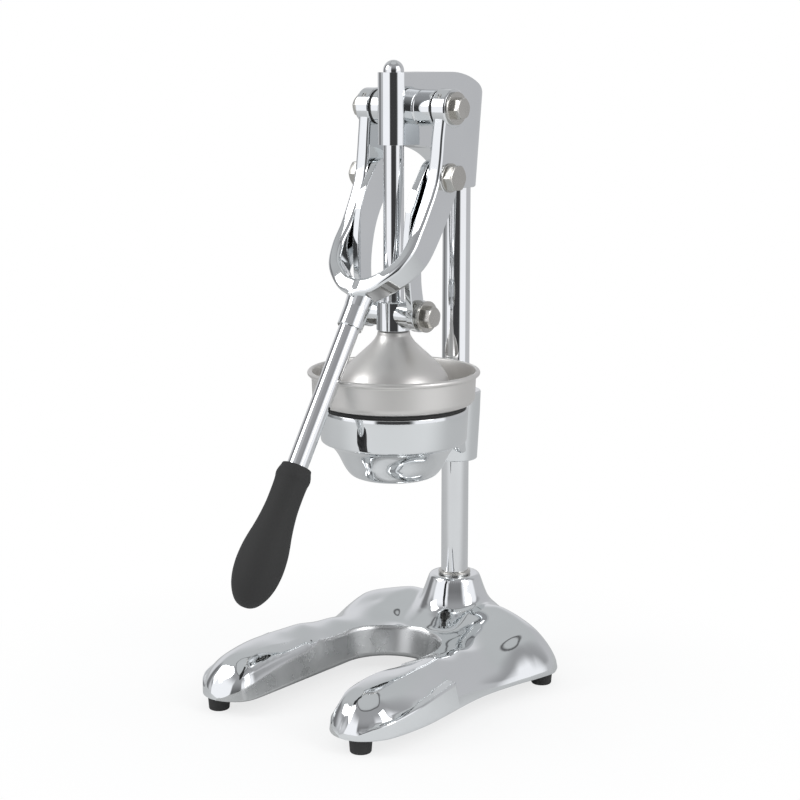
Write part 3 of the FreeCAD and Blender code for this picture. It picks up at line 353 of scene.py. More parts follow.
def turned_metal(name, light, dark, rough, grain, centre):
    """Sheet finished while turning: fine lines that run round an upright axis."""
    material, tree, shader = new_material(name)
    if tree is None:
        return material
    shader.inputs["Metallic"].default_value = 1.0
    coords = tree.nodes.new("ShaderNodeTexCoord")
    split = tree.nodes.new("ShaderNodeSeparateXYZ")
    move = tree.nodes.new("ShaderNodeVectorMath")
    move.operation = "SUBTRACT"
    move.inputs[1].default_value = tuple(c * MM for c in centre)
    tree.links.new(coords.outputs["Object"], move.inputs[0])
    tree.links.new(move.outputs["Vector"], split.inputs["Vector"])
    flat = tree.nodes.new("ShaderNodeCombineXYZ")
    tree.links.new(split.outputs["X"], flat.inputs["X"])
    tree.links.new(split.outputs["Y"], flat.inputs["Y"])
    reach = tree.nodes.new("ShaderNodeVectorMath")
    reach.operation = "LENGTH"
    tree.links.new(flat.outputs["Vector"], reach.inputs[0])
    place = tree.nodes.new("ShaderNodeCombineXYZ")
    tree.links.new(reach.outputs["Value"], place.inputs["X"])
    tree.links.new(split.outputs["Z"], place.inputs["Y"])
    lines = tree.nodes.new("ShaderNodeTexNoise")
    lines.inputs["Scale"].default_value = 2600.0
    lines.inputs["Detail"].default_value = 3.0
    tree.links.new(place.outputs["Vector"], lines.inputs["Vector"])
    bands = tree.nodes.new("ShaderNodeTexNoise")
    bands.inputs["Scale"].default_value = 160.0
    bands.inputs["Detail"].default_value = 4.0
    tree.links.new(place.outputs["Vector"], bands.inputs["Vector"])
    bump(tree, shader, lines.outputs["Fac"], grain, 0.00012)
    spread = tree.nodes.new("ShaderNodeMapRange")
    spread.inputs["To Min"].default_value = rough[0]
    spread.inputs["To Max"].default_value = rough[1]
    tree.links.new(bands.outputs["Fac"], spread.inputs["Value"])
    tree.links.new(spread.outputs["Result"], shader.inputs["Roughness"])
    patch = noise_between(tree, 22.0, 4.0, 0.0, 1.0)
    tree.links.new(tint(tree, patch, dark, light), shader.inputs["Base Color"])
    return material


def dull(name, light, dark, rough, grain_scale, grain):
    """Rubber or moulded plastic with a fine skin."""
    material, tree, shader = new_material(name)
    if tree is None:
        return material
    tree.links.new(noise_between(tree, 40.0, 5.0, rough[0], rough[1]), shader.inputs["Roughness"])
    patch = noise_between(tree, 25.0, 4.0, 0.0, 1.0)
    tree.links.new(tint(tree, patch, dark, light), shader.inputs["Base Color"])
    bump(tree, shader, noise_between(tree, grain_scale, 3.0, 0.0, 1.0), grain, 0.0003)
    return material


def chrome():
    return metal("bright_chrome", (0.84, 0.86, 0.87), (0.80, 0.82, 0.83), (0.03, 0.06), waves=0.015,
                 wave_scale=26.0)


def bar_chrome():
    return metal("bar_chrome", (0.84, 0.855, 0.865), (0.80, 0.81, 0.82), (0.035, 0.07))


def machined():
    return metal("machined_chrome", (0.66, 0.67, 0.67), (0.56, 0.57, 0.57), (0.24, 0.34),
                 stretch=(0.1, 0.1, 1.0), grain=0.07, grain_scale=1100.0)


def satin():
    return turned_metal("satin_stainless", (0.52, 0.495, 0.45), (0.45, 0.43, 0.385), (0.08, 0.15), 0.12,
                        (0, RAM_Y, 0))


def nickel():
    return metal("dull_nickel", (0.64, 0.63, 0.60), (0.54, 0.53, 0.50), (0.2, 0.32), waves=0.02,
                 wave_scale=400.0)


def dark_steel():
    return metal("dark_steel", (0.35, 0.35, 0.35), (0.24, 0.24, 0.24), (0.25, 0.4), waves=0.1,
                 wave_scale=500.0)


# Dark rubber for the feet and the cup's seat; on the washers beside the trunnion the same dark is painted
# shade.
def rubber_and_painted_shade():
    return dull("black_rubber", (0.016, 0.016, 0.017), (0.010, 0.010, 0.011), (0.5, 0.65), 700.0, 0.25)


def grip_plastic():
    material = dull("black_grip", (0.0085, 0.008, 0.0075), (0.006, 0.0055, 0.0055), (0.36, 0.46), 420.0, 0.12)
    material.node_tree.nodes["Principled BSDF"].inputs["Specular IOR Level"].default_value = 0.28
    return material


# The base casting, right half where a list has one half. Heights are over the table.

FOOT_RIM = 14.3
UNDER = 13.6
OUTER = [(0, 163), (30, 162.6), (58, 159.5), (82, 154), (100, 146), (112, 136), (118.5, 124),
         (120.3, 114.5), (116.5, 93.5), (112, 74.5), (106.5, 41.5), (105.5, 13.5), (108.3, -30.5),
         (109, -59.5), (105, -91.5), (98.5, -106), (88.5, -116), (78, -120.2), (69, -120.4)]
# A finger's inner edge, from the nose back, at the top and the foot of the machined wall
WALL_TOP = [(69, -120.4), (62, -118.4), (55.5, -114.2), (50.3, -107.5), (47.6, -97), (48.0, -80),
            (48.6, -60), (49.0, -40)]
WALL_FOOT = [(69, -120.4), (61.3, -118.2), (53.5, -113.2), (47.4, -106), (44.9, -96), (44.5, -80),
             (44.5, -60), (44.5, -40)]
# How high the machined wall stands along the finger, as (y, z)
WALL_RISE = [(-121, 14.4), (-119, 17), (-115, 21), (-109, 24.5), (-97, 27), (-80, 29.8), (-61, 33),
             (-41, 36), (-7, 39.6), (28, 41)]
# Half widths of the slot at its top and foot, the centre of its round end, and that end's draft
SLOT_TOP = 49.0
SLOT_LOW = 44.5
SLOT_Y = 28.5
SLOT_DRAFT = 1.0
# The finger's dome runs in from the machined wall only in front of this y
DOME_BACK = -10
# How far in the rounding reaches from the outer edge, and how full it is
RIM_ROUND = 31.0
FULLNESS = 2.1
# Inside this radius the skin is the post boss alone
BOSS_ONLY = 27
# The casting's wall, the lip round its open underside and the top of its hollow
WALL = 4.6
LIP = 6.5
HOLLOW_TOP = 62
# The skin before it is rounded off, as (x, y, z) on the right half
HEIGHTS = [
    (78, -120, 40), (76, -108, 44.5), (77, -84, 49), (77, -60, 51), (76, -30, 51), (75, 0, 50.5),
    (73, 40, 46.5), (72, 66, 44.5), (96, -84, 45), (100, -50, 46), (100, -15, 45), (98, 30, 40),
    (98, 60, 37.5), (58, -108, 43), (98, -108, 41), (57, -84, 48), (56, -56, 49),
    (52, -27, 44.5), (49, 6, 41.2),
    (49, 28, 41), (34.6, 63, 41), (0, 77.5, 41), (20, 73, 41),
    (61, 78, 46), (59, 95, 50), (47, 102, 51.5), (38, 107, 54.5), (70, 100, 50), (88, 99, 48),
    (104, 96, 44), (69, 129.5, 56), (50, 129.5, 60), (92, 129.5, 50), (107, 129.5, 45), (112, 115, 44),
    (80, 142, 49), (60, 150, 49), (30, 155, 48), (0, 158, 47), (0, 150, 52), (98, 140, 44),
    (0, 87, 39.5), (15, 90, 40.5), (30, 88, 42), (0, 98, 46), (20, 100, 48), (40, 82, 43.5),
]
# The post boss as radius and height
BOSS_LINE = [(0, 83), (22.2, 83), (23.6, 81.4), (25.6, 76.0), (27.6, 70.2), (29.4, 65.5), (31.2, 61.5),
             (33.4, 57.8), (36.5, 54.2), (41.0, 50.0), (47.0, 45.0), (60.0, 32.0), (90.0, 0.0)]
# Rings of points round the post, closest where the boss bends most
BOSS_RINGS = (19.0, 22.4, 22.9, 23.4, 24.0, 24.8, 25.6, 26.4, 27.2, 28.0, 28.7, 29.3, 30.2, 31.2, 32.4,
              33.8, 35.4, 37.2, 39.2, 41.5, 44.0, 46.8)


def along(values, line):
    """Straight-line reading of a list of pairs."""
    return np.interp(values, [pair[0] for pair in line], [pair[1] for pair in line])


def base_heights(xs, ys):
    """Thin plate bent through the listed heights and their mirror images."""
    known = []
    for x, y, z in HEIGHTS:
        known.append((x, y, z))
        if x > 0:
            known.append((-x, y, z))
    known = np.array(known, dtype=float)
    places = known[:, :2] / 100.0

    def kernel(a, b):
        d = np.sqrt(((a[:, None, :] - b[None, :, :]) ** 2).sum(2) + 1e-12)
        return d * d * np.log(d + 1e-9)

    count = len(known)
    left = np.zeros((count + 3, count + 3))
    left[:count, :count] = kernel(places, places) + np.eye(count) * 0.0006
    left[:count, count] = 1
    left[:count, count + 1:] = places
    left[count, :count] = 1
    left[count + 1:, :count] = places.T
    right = np.concatenate([known[:, 2], np.zeros(3)])
    weights = np.linalg.solve(left, right)
    spots = np.stack([xs, ys], 1) / 100.0
    return kernel(spots, places) @ weights[:count] + weights[count] + spots @ weights[count + 1:]


def edge_distance(xs, ys, line):
    """Distance from each point to the nearest stretch of a line."""
    a = line[:-1]
    b = line[1:]
    best = np.full(len(xs), 1e9)
    for (ax, ay), (bx, by) in zip(a, b):
        dx, dy = bx - ax, by - ay
        t = np.clip(((xs - ax) * dx + (ys - ay) * dy) / (dx * dx + dy * dy + 1e-12), 0, 1)
        best = np.minimum(best, np.hypot(xs - ax - t * dx, ys - ay - t * dy))
    return best


def casting_top(xs, ys, lines):
    """Height of the skin: rounded off at the rim, domed over the fingers, blended into the boss."""
    outer_line, inner_line = lines
    body = base_heights(xs, ys)
    t = np.clip(1 - edge_distance(xs, ys, outer_line) / RIM_ROUND, 0, 1)
    corner = np.clip((ys - 20) / 80, 0, 1) * np.clip((np.abs(xs) - 60) / 30, 0, 1)
    body = FOOT_RIM + (body - FOOT_RIM) * (1 - t ** FULLNESS) ** (0.5 + 0.12 * corner)
    rise = along(ys, WALL_RISE)
    wide = np.interp(ys, [-100, -60, DOME_BACK], [17.0, 11.0, 0.01])
    t = np.clip(1 - edge_distance(np.abs(xs), ys, inner_line) / wide, 0, 1)
    dome = rise + np.maximum(body - rise, 0) * (1 - t ** FULLNESS) ** 0.5
    body = np.where(ys < DOME_BACK, dome, body)
    radius = np.hypot(xs, ys - POST_Y)
    boss = along(radius, BOSS_LINE)
    soft = 2.6
    both = np.logaddexp(body / soft, boss / soft) * soft
    return np.where(radius < BOSS_ONLY, boss, both)


def slot_line(start, half, centre):
    """Right half of the slot's edge, from the nose along the finger and round to the middle at the back."""
    out = smooth_line(start, 6)
    front = start[-1][1]
    for k in range(1, 16):
        out.append(Vector((half, front + (centre - front) * k / 15)))
    return out + circle_points(half, (0, centre), 0, 90, 40)[1:]


def offset_rows(line, distances):
    """Points beside an open line, on its right hand side."""
    rows = []
    for distance in distances:
        for i, p in enumerate(line):
            ahead = line[min(i + 1, len(line) - 1)] - line[max(i - 1, 0)]
            rows.append(p + Vector((ahead.y, -ahead.x)).normalized() * distance)
    return rows


def inside(xs, ys, loop):
    """True for each point that a closed loop goes round."""
    result = np.zeros(len(xs), dtype=bool)
    for (x1, y1), (x2, y2) in zip(loop, loop[1:] + loop[:1]):
        result ^= ((y1 > ys) != (y2 > ys)) & (xs < (x2 - x1) * (ys - y1) / (y2 - y1 + 1e-12) + x1)
    return result


def grid_points(step):
    """Rows of points set like a honeycomb over the whole base."""
    gx, gy = np.meshgrid(np.arange(-124, 124, step), np.arange(-124, 166, step * 0.866))
    gx = gx + (np.arange(gx.shape[0]) % 2)[:, None] * step / 2
    return gx.ravel(), gy.ravel()


def mirrored(points):
    """Points and their mirror images on the left."""
    return [Vector(p) for p in points] + [Vector((-p.x, p.y)) for p in points if p.x > 0.5]


def both_sides(half):
    """Closed loop from a right half that starts and ends on the middle."""
    return half + [Vector((-p.x, p.y)) for p in reversed(half[1:-1])]


def filled(loop, points, clear):
    """Triangles inside a loop through scattered points that keep clear of it."""
    px = np.array([p.x for p in points])
    py = np.array([p.y for p in points])
    line = np.array([(p.x, p.y) for p in loop] + [(loop[0].x, loop[0].y)])
    good = inside(px, py, [(p.x, p.y) for p in loop]) & (edge_distance(px, py, line) > clear)
    spots = [Vector(p) for p in loop] + [Vector(p) for p, keep in zip(points, good) if keep]
    edges = [(i, (i + 1) % len(loop)) for i in range(len(loop))]
    verts, out_edges, faces, a, b, c = delaunay_2d_cdt(spots, edges, [], 1, 1e-4)
    return verts, faces


def skin_points(outer, slot, lines):
    """Points for the top of the skin: rows along the edges, rings round the boss, a grid between."""
    gx, gy = grid_points(2.0)
    keep = (edge_distance(gx, gy, lines[0]) > 13.6) & (np.hypot(gx, gy - POST_Y) > 48)
    keep &= (edge_distance(np.abs(gx), gy, lines[1]) > 9.0) | (gy > -15)
    points = [Vector(p) for p in zip(gx[keep], gy[keep])]
    beside = [13.0 * (1 - math.cos(math.pi / 2 * k / 8)) for k in range(1, 9)]
    points += mirrored(offset_rows(outer, beside))
    points += mirrored(offset_rows([p for p in slot if p.y < -16], [-d * 0.68 for d in beside]))
    for r in BOSS_RINGS:
        count = max(40, int(math.pi * r))
        for k in range(count):
            a = 2 * math.pi * (k + 0.5 * (int(r * 10) % 2)) / count
            points.append(Vector((r * math.cos(a), POST_Y + r * math.sin(a))))
    return points


def lifted(flat, lines):
    """Heights of the skin over flat points."""
    return casting_top(np.array([v.x for v in flat]), np.array([v.y for v in flat]), lines)


def casting_mesh(material, wall_material):
    """The whole casting as one closed skin: top, rim, slot wall, and the hollow under it."""
    outer = smooth_line(OUTER, 7)
    slot = slot_line(WALL_TOP, SLOT_TOP, SLOT_Y)
    low_slot = slot_line(WALL_FOOT, SLOT_LOW, SLOT_Y - SLOT_DRAFT)
    lines = (np.array([(-p.x, p.y) for p in reversed(outer)] + [(p.x, p.y) for p in outer[1:]]),
             np.array([(p.x, p.y) for p in slot]))
    loop = both_sides(outer + slot[1:])
    low_loop = both_sides(outer + low_slot[1:])
    count = len(loop)

    flat, faces = filled(loop, skin_points(outer, slot, lines), 0.35)
    verts = [(v.x, v.y, float(z)) for v, z in zip(flat, lifted(flat, lines))]
    faces = [tuple(f) for f in faces]
    shades = [0] * len(faces)
    heights = [verts[k][2] for k in range(count)]

    rows = [list(range(count))]
    levels = 7
    for level in range(1, levels + 1):
        t = level / levels
        rows.append(list(range(len(verts), len(verts) + count)))
        for k in range(count):
            p = loop[k] + (low_loop[k] - loop[k]) * t
            verts.append((p.x, p.y, heights[k] + (UNDER - heights[k]) * t))
    first_wall = len(outer) - 1
    for face in range(levels * count):
        shades.append(1 if first_wall <= face % count < count - first_wall else 0)
    faces += ribbon_faces(rows)

    lip = list(reversed(inset_loop(list(reversed(low_loop)), LIP)))
    gx, gy = grid_points(5.0)
    keep = np.hypot(gx, gy - POST_Y) > 21
    flat, under = filled(lip, [Vector(p) for p in zip(gx[keep], gy[keep])], 1.5)
    ceiling = np.maximum(np.minimum(lifted(flat, lines), HOLLOW_TOP) - WALL, UNDER + 0.4)
    rows = [rows[-1], list(range(len(verts), len(verts) + count))]
    verts += [(p.x, p.y, UNDER) for p in lip]
    first = len(verts)
    rows.append(list(range(first, first + count)))
    verts += [(v.x, v.y, float(z)) for v, z in zip(flat, ceiling)]
    faces += ribbon_faces(rows) + [tuple(first + k for k in reversed(f)) for f in under]
    shades += [0] * (len(faces) - len(shades))

    mesh = bpy.data.meshes.new("base_skin")
    mesh.from_pydata([(x * MM, y * MM, z * MM) for x, y, z in verts], [], faces)
    mesh.materials.append(material)
    mesh.materials.append(wall_material)
    mesh.polygons.foreach_set("material_index", shades)
    bm = bmesh.new()
    bm.from_mesh(mesh)
    bmesh.ops.dissolve_degenerate(bm, edges=bm.edges, dist=1e-7)
    bmesh.ops.recalc_face_normals(bm, faces=bm.faces)
    bm.to_mesh(mesh)
    bm.free()
    mesh.polygons.foreach_set("use_smooth", [True] * len(mesh.polygons))
    mesh.set_sharp_from_angle(angle=math.radians(44))
    sharpen_wall(mesh)
    smooth_skin(mesh, lines)
    skin = bpy.data.objects.new("base_skin", mesh)
    bpy.context.scene.collection.objects.link(skin)
    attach(skin, "frame")
    return skin


def sharpen_wall(mesh):
    """Keeps the shading apart where the machined wall meets the polished skin."""
    finishes = {}
    for face in mesh.polygons:
        for key in face.edge_keys:
            finishes.setdefault(key, set()).add(face.material_index)
    for edge in mesh.edges:
        if len(finishes.get(edge.key, ())) > 1:
            edge.use_edge_sharp = True


def smooth_skin(mesh, lines):
    """Takes the top's normals from the height rule, so that the chrome mirrors without facets."""
    place = np.empty(len(mesh.vertices) * 3)
    mesh.vertices.foreach_get("co", place)
    place = place.reshape(-1, 3) / MM
    xs, ys = place[:, 0], place[:, 1]
    step = 0.6

    def height(dx, dy):
        return casting_top(xs + dx, ys + dy, lines)

    on_top = np.abs(height(0, 0) - place[:, 2]) < 0.02
    on_top &= edge_distance(xs, ys, lines[0]) > 1.4
    on_top &= edge_distance(np.abs(xs), ys, lines[1]) > 0.9
    normal = np.stack([height(-step, 0) - height(step, 0), height(0, -step) - height(0, step),
                       np.full(len(xs), 2 * step)], 1)
    normal /= np.linalg.norm(normal, axis=1)[:, None]
    normal[~on_top] = 0
    mesh.normals_split_custom_set_from_vertices([tuple(float(c) for c in n) for n in normal])


class PressSizes(bpy.types.PropertyGroup):
    post_radius: FloatProperty(name="Post radius", description="Radius of the upright bar",
                               default=0.0125, unit="LENGTH", subtype="DISTANCE")
    ram_radius: FloatProperty(name="Ram radius", description="Radius of the ram's rod",
                              default=0.009, unit="LENGTH", subtype="DISTANCE")
    cup_radius: FloatProperty(name="Cup radius", description="Outer radius of the cup's rolled rim",
                              default=0.0758, unit="LENGTH", subtype="DISTANCE")
    backdrop: FloatVectorProperty(name="Backdrop", description="Colour the camera sees behind the object",
                                  default=(1.0, 1.0, 1.0), subtype="COLOR")


def sizes():
    """The sizes and colours that the panel shows."""
    return bpy.context.scene.press_sizes


class PRESS_OT_base(bpy.types.Operator):
    """Builds the base casting"""
    bl_idname = "press.base"
    bl_label = "Base casting"

    def execute(self, context):
        skin = casting_mesh(chrome(), machined())
        pads = []
        for x, y in FEET:
            outline = rounded([(2.6, UNDER), (8, UNDER, 0.5), (8, 27), (2.6, 27)])
            pads.append(lathe("pad", outline, None, chrome(), (x, y, 0), segments=64))
        outline = rounded([(8.6, 24.6), (16.5, 24.6), (16.5, UNDER, 0.6), (20, UNDER, 0.6), (20, 60),
                           (8.6, 60)])
        pads.append(lathe("core", outline, None, chrome(), (0, POST_Y, 0)))
        pads = join("base_pads", pads)
        dress(pads, "frame", chrome(), 40)
        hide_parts("base_casting")
        return {"FINISHED"}


# Post, head and ram

def hull_outline(radius_front, radius_back, front, back):
    """Outline round a small circle in front and a larger one behind, in (x, y)."""
    steps = 32
    gap = back - front
    lean = math.degrees(math.asin((radius_back - radius_front) / gap))
    rear = circle_points(radius_back, (0, back), -lean, 180 + lean, steps * 2)
    fore = circle_points(radius_front, (0, front), 180 + lean, 360 - lean, steps * 2)
    return rear + fore


class PRESS_OT_post(bpy.types.Operator):
    """Builds the post and the ring at its foot"""
    bl_idname = "press.post"
    bl_label = "Post"

    def execute(self, context):
        r = sizes().post_radius / MM
        bar = lathe("post_bar", rounded([(0, 32.2), (r, 32.2), (r, 527), (0, 527)]), "frame",
                    bar_chrome(), (0, POST_Y, 0))
        stud = lathe("post_stud", rounded([(0, 10), (8, 10, 1), (8, 32.2), (0, 32.2)]), "frame",
                     nickel(), (0, POST_Y, 0), segments=48)
        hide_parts("post")
        ring = lathe("post_ring", rounded([(r + 0.05, 84), (15, 84), (15, 85.6, 0.8), (13.6, 86.6, 0.5),
                                           (r + 0.05, 86.6)]), "frame", nickel(), (0, POST_Y, 0))
        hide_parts("post_collar")
        return {"FINISHED"}


class PRESS_OT_head(bpy.types.Operator):
    """Builds the head casting with its guide barrel, post socket and trunnion"""
    bl_idname = "press.head"
    bl_label = "Head"

    def execute(self, context):
        shape = chrome()
        foot, top = 443.0, 545.0
        sections = []
        for level, inset in ((foot, 1.2), (443.4, 0.5), (444.2, 0), (478, 0), (511, 0), (top, 0)):
            behind = 16.8 + (23.5 - 16.8) * (level - foot) / (top - foot)
            outline = hull_outline(13.5 - inset, behind - inset, RAM_Y, POST_Y)
            sections.append([(p.x, p.y, level) for p in outline])
        block = loft("head_block", sections, None, shape, 30)
        arch = [(RAM_Y + 13.5, 484), (74, 480.5), (88.5, 476.2), (98.5, 471.5), (106, 466.5), (110.5, 461),
                (111.3, 452)]
        side = [(RAM_Y - 20, 600), (RAM_Y - 20, 484)] + [(p.x, p.y) for p in smooth_line(arch, 6)]
        side += [(111.3, 436), (162, 436)]
        side += [(p.x, p.y) for p in circle_points(71.5, (93.5, 473.5), 16.0, 90, 28)]
        side += [(93.5, 600)]
        cutter = plate("head_side", side, -40, 40, 0.0, None, shape, 30)
        combine(block, cutter, "INTERSECT", 1.3, 28)
        dress(block, "frame", shape, 24)
        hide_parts("head_casting")
        cross = lathe("head_trunnion", rounded([(0, -32), (15.5, -32, 0.8), (15.5, 32, 0.8), (0, 32)]),
                      "frame", shape, (0, PIVOT[0], PIVOT[1]), (1, 0, 0))
        for sign, word in ((-1, "left"), (1, "right")):
            flare = []
            for k in range(7):
                a = math.pi / 2 * k / 6
                flare.append((15.4 + 2.6 * (1 - math.sin(a)), 13.4 + 3.4 * (1 - math.cos(a))))
            root = lathe("head_fillet_" + word, [(15.4, 13.0)] + flare + [(15.4, 16.8)], "frame", shape,
                         (0, PIVOT[0], PIVOT[1]), (sign, 0, 0))
        return {"FINISHED"}


class PRESS_OT_ram(bpy.types.Operator):
    """Builds the ram's rod, crosshead and press cone"""
    bl_idname = "press.ram"
    bl_label = "Ram"

    def execute(self, context):
        r = sizes().ram_radius / MM
        dome = [(r * math.cos(math.pi / 2 * k / 12), 546.5 + r * math.sin(math.pi / 2 * k / 12))
                for k in range(13)]
        rod = lathe("ram_bar", [(0, 301.6), (6, 301.6), (6, 323.6), (r, 323.6)] + dome, "ram", bar_chrome(),
                    (0, RAM_Y, 0))
        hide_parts("ram_rod")
        z = LOW[1]
        hub = lathe("crosshead_hub", rounded([(9.02, z - 15), (14, z - 15), (15, z - 14.4, 0.6),
                                              (15, z + 10.2, 0.8), (14, z + 11), (9.02, z + 11)]), "ram",
                    chrome(), (0, RAM_Y, 0))
        ears = lathe("crosshead_ears", rounded([(0, -23.8), (12, -23.8, 1.2), (12, 23.8, 1.2), (0, 23.8)]),
                     "ram", chrome(), (0, RAM_Y, z), (1, 0, 0), 64)
        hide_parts("crosshead")
        top = 323.1
        outer = smooth_line([(14.2, top - 1.2), (15.0, top - 4.2), (18.4, top - 9.2), (24.5, top - 15.2),
                             (31.5, top - 21.5), (38.0, top - 27.8), (43.4, top - 33.8), (47.2, top - 39.8),
                             (49.7, top - 46.0), (50.8, top - 51.0), (51.0, top - 54.4)], 6)
        inner = [(max(p.x - 2.0, 6.05), p.y - 1.6) for p in outer]
        inner = [p for p in inner if p[1] > top - 53.5 and p[0] > 16.5]
        cone = lathe("press_bell", [(6.05, top), (13.4, top), (14.0, top - 0.5)] + [tuple(p) for p in outer]
                     + [(50.6, top - 55), (49.4, top - 55)] + list(reversed(inner))
                     + [(14.0, top - 11.0), (6.05, top - 11.0)], "ram", satin(), (0, RAM_Y, 0), segments=160)
        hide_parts("press_cone")
        return {"FINISHED"}


class PRESS_OT_cup(bpy.types.Operator):
    """Builds the cup's wall, its rolled rim and the pierced cone in its middle"""
    bl_idname = "press.cup"
    bl_label = "Cup"

    def execute(self, context):
        rim = sizes().cup_radius / MM
        low = 260.06
        roll = circle_points(2.3, (rim - 2.3, 286.75), 150, -95, 16)
        wall = [(42.4, low + 1.5), (66.0, low + 1.5), (68.6, low + 2.3), (69.8, low + 4.6), (70.0, low + 7),
                (70.7, 281.5), (71.2, 285.2)]
        wall += [(p.x, p.y) for p in roll]
        wall += [(72.5, 284.2), (72.1, 282.6), (71.5, 266.0), (71.1, 263.2), (69.4, 261.1), (66.6, low),
                 (42.4, low)]
        shell = lathe("cup_shell", wall, "cup", satin(), (0, RAM_Y, 0), segments=192, sharp=40)
        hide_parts("strainer_cup")
        sieve = pierced_cone("cup_sieve", low, satin())
        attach(sieve, "cup")
        return {"FINISHED"}


def pierced_cone(name, low, material):
    """Thin cone with rows of round holes; each row's holes are spread round by a node tree."""
    line = smooth_line([(42.6, 0.6), (41.2, 3.2), (36.5, 10.0), (30.0, 17.6), (22.0, 24.8), (14.0, 31.4),
                        (7.0, 35.4), (0.0, 36.3)], 7)
    dome = lathe(name, [(p.x, p.y + low) for p in line] + [(max(p.x - 0.9, 0), p.y + low - 1.1)
                                                          for p in reversed(line)],
                 None, material, (0, RAM_Y, 0), segments=96)
    rows = [(12.5, 12, 1.9), (19.5, 18, 2.1), (27.0, 24, 2.2), (34.0, 30, 2.2)]
    for k, (reach, count, radius) in enumerate(rows):
        pin = lathe(f"hole_pin_{k}", [(0, 0), (radius, 0), (radius, 45), (0, 45)], None, material,
                    segments=16)
        drill = ring_of(f"holes_{k}", pin, count, reach, (0, RAM_Y, low - 2), material, k)
        combine(dome, drill, "DIFFERENCE")
    dress(dome, None, material, 30)
    dome.name = name
    return dome


def node_group(name, sockets):
    tree = bpy.data.node_groups.new(name, "GeometryNodeTree")
    for label, kind, value in sockets:
        socket = tree.interface.new_socket(label, in_out="INPUT", socket_type=kind)
        if value is not None:
            socket.default_value = value
    tree.interface.new_socket("Geometry", in_out="OUTPUT", socket_type="NodeSocketGeometry")
    return tree


def ring_of(name, template, count, reach, centre, material, seed):
    """Copies of a small mesh set in a ring about +Z by Geometry Nodes, as one plain mesh."""
    tree = node_group("ring_of_pieces", (
        ("Piece", "NodeSocketObject", None), ("Count", "NodeSocketInt", 12),
        ("Radius", "NodeSocketFloat", 0.01), ("Turn", "NodeSocketFloat", 0.0),
        ("Material", "NodeSocketMaterial", None)))
    ids = {item.name: item.identifier for item in tree.interface.items_tree if item.in_out == "INPUT"}
    nodes, links = tree.nodes, tree.links
    start = nodes.new("NodeGroupInput")
    end = nodes.new("NodeGroupOutput")
    ring = nodes.new("GeometryNodeMeshCircle")
    ring.fill_type = "NONE"
    place = nodes.new("GeometryNodeInstanceOnPoints")
    info = nodes.new("GeometryNodeObjectInfo")
    spin = nodes.new("ShaderNodeCombineXYZ")
    turn = nodes.new("GeometryNodeTransform")
    real = nodes.new("GeometryNodeRealizeInstances")
    paint = nodes.new("GeometryNodeSetMaterial")
    links.new(start.outputs["Count"], ring.inputs["Vertices"])
    links.new(start.outputs["Radius"], ring.inputs["Radius"])
    links.new(start.outputs["Piece"], info.inputs["Object"])
    links.new(ring.outputs["Mesh"], place.inputs["Points"])
    links.new(info.outputs["Geometry"], place.inputs["Instance"])
    links.new(start.outputs["Turn"], spin.inputs["Z"])
    links.new(place.outputs["Instances"], turn.inputs["Geometry"])
    links.new(spin.outputs["Vector"], turn.inputs["Rotation"])
    links.new(turn.outputs["Geometry"], real.inputs["Geometry"])
    links.new(real.outputs["Geometry"], paint.inputs["Geometry"])
    links.new(start.outputs["Material"], paint.inputs["Material"])
    links.new(paint.outputs["Geometry"], end.inputs["Geometry"])
    holder = bpy.data.objects.new(name, bpy.data.meshes.new(name))
    bpy.context.scene.collection.objects.link(holder)
    spread = holder.modifiers.new("spread", "NODES")
    spread.node_group = tree
    spread[ids["Piece"]] = template
    spread[ids["Count"]] = count
    spread[ids["Radius"]] = reach * MM
    spread[ids["Turn"]] = seed * 0.37
    spread[ids["Material"]] = material
    bake(holder)
    holder.data.transform(Matrix.Translation(Vector(centre) * MM))
    bpy.data.objects.remove(template)
    return holder


class PRESS_OT_holder(bpy.types.Operator):
    """Builds the cup holder with its funnel, neck and post clamp"""
    bl_idname = "press.holder"
    bl_label = "Cup holder"

    def execute(self, context):
        shape = chrome()
        top = 256.07
        outer = [(61.0, top), (65.0, top), (65.8, top - 0.8), (65.4, top - 8), (65.0, top - 16),
                 (64.7, top - 22), (64.4, top - 28), (64.0, top - 29.4), (63.0, top - 30.2),
                 (61.5, top - 30.5)]
        funnel = [(p.x, p.y) for p in smooth_line([(59.6, top - 31.2), (56.0, top - 33.6),
                                                   (52.8, top - 37.0), (49.8, top - 41.2),
                                                   (47.2, top - 46.0), (44.8, top - 51.0),
                                                   (41.8, top - 56.0), (38.0, top - 60.2),
                                                   (33.2, top - 62.4), (29.0, top - 62.9)], 5)]
        inner = [(p.x, p.y) for p in smooth_line([(27.8, top - 62.4), (28.6, top - 60.4), (33, top - 58.8),
                                                  (37, top - 55), (40.4, top - 49), (43.6, top - 42),
                                                  (48.6, top - 34), (54.6, top - 27.6), (59, top - 23.4),
                                                  (61, top - 18)], 4)]
        body = lathe("holder_body", outer + funnel + inner, None, shape, (0, RAM_Y, 0), segments=192,
                     sharp=50)
        clamp = lathe("holder_clamp", rounded([(12.52, 193.5), (20.2, 193.5, 1.2), (22.6, 238),
                                               (23.2, 257.6, 1.6), (12.52, 257.6)]),
                      None, shape, (0, POST_Y, 0), segments=128)
        neck = loft("holder_neck", neck_sections(), None, shape, 40)
        body = join("holder_casting", [body, clamp, neck])
        dress(body, "frame", shape, 50)
        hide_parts("cup_holder")
        seat = lathe("holder_seat", rounded([(57.2, top), (63.8, top), (64.0, top + 1.9, 0.8),
                                             (62.6, top + 4.0, 0.6), (57.2, top + 4.0)]), "frame", rubber_and_painted_shade(),
                     (0, RAM_Y, 0), segments=160)
        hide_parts("cup_seat_ring")
        return {"FINISHED"}


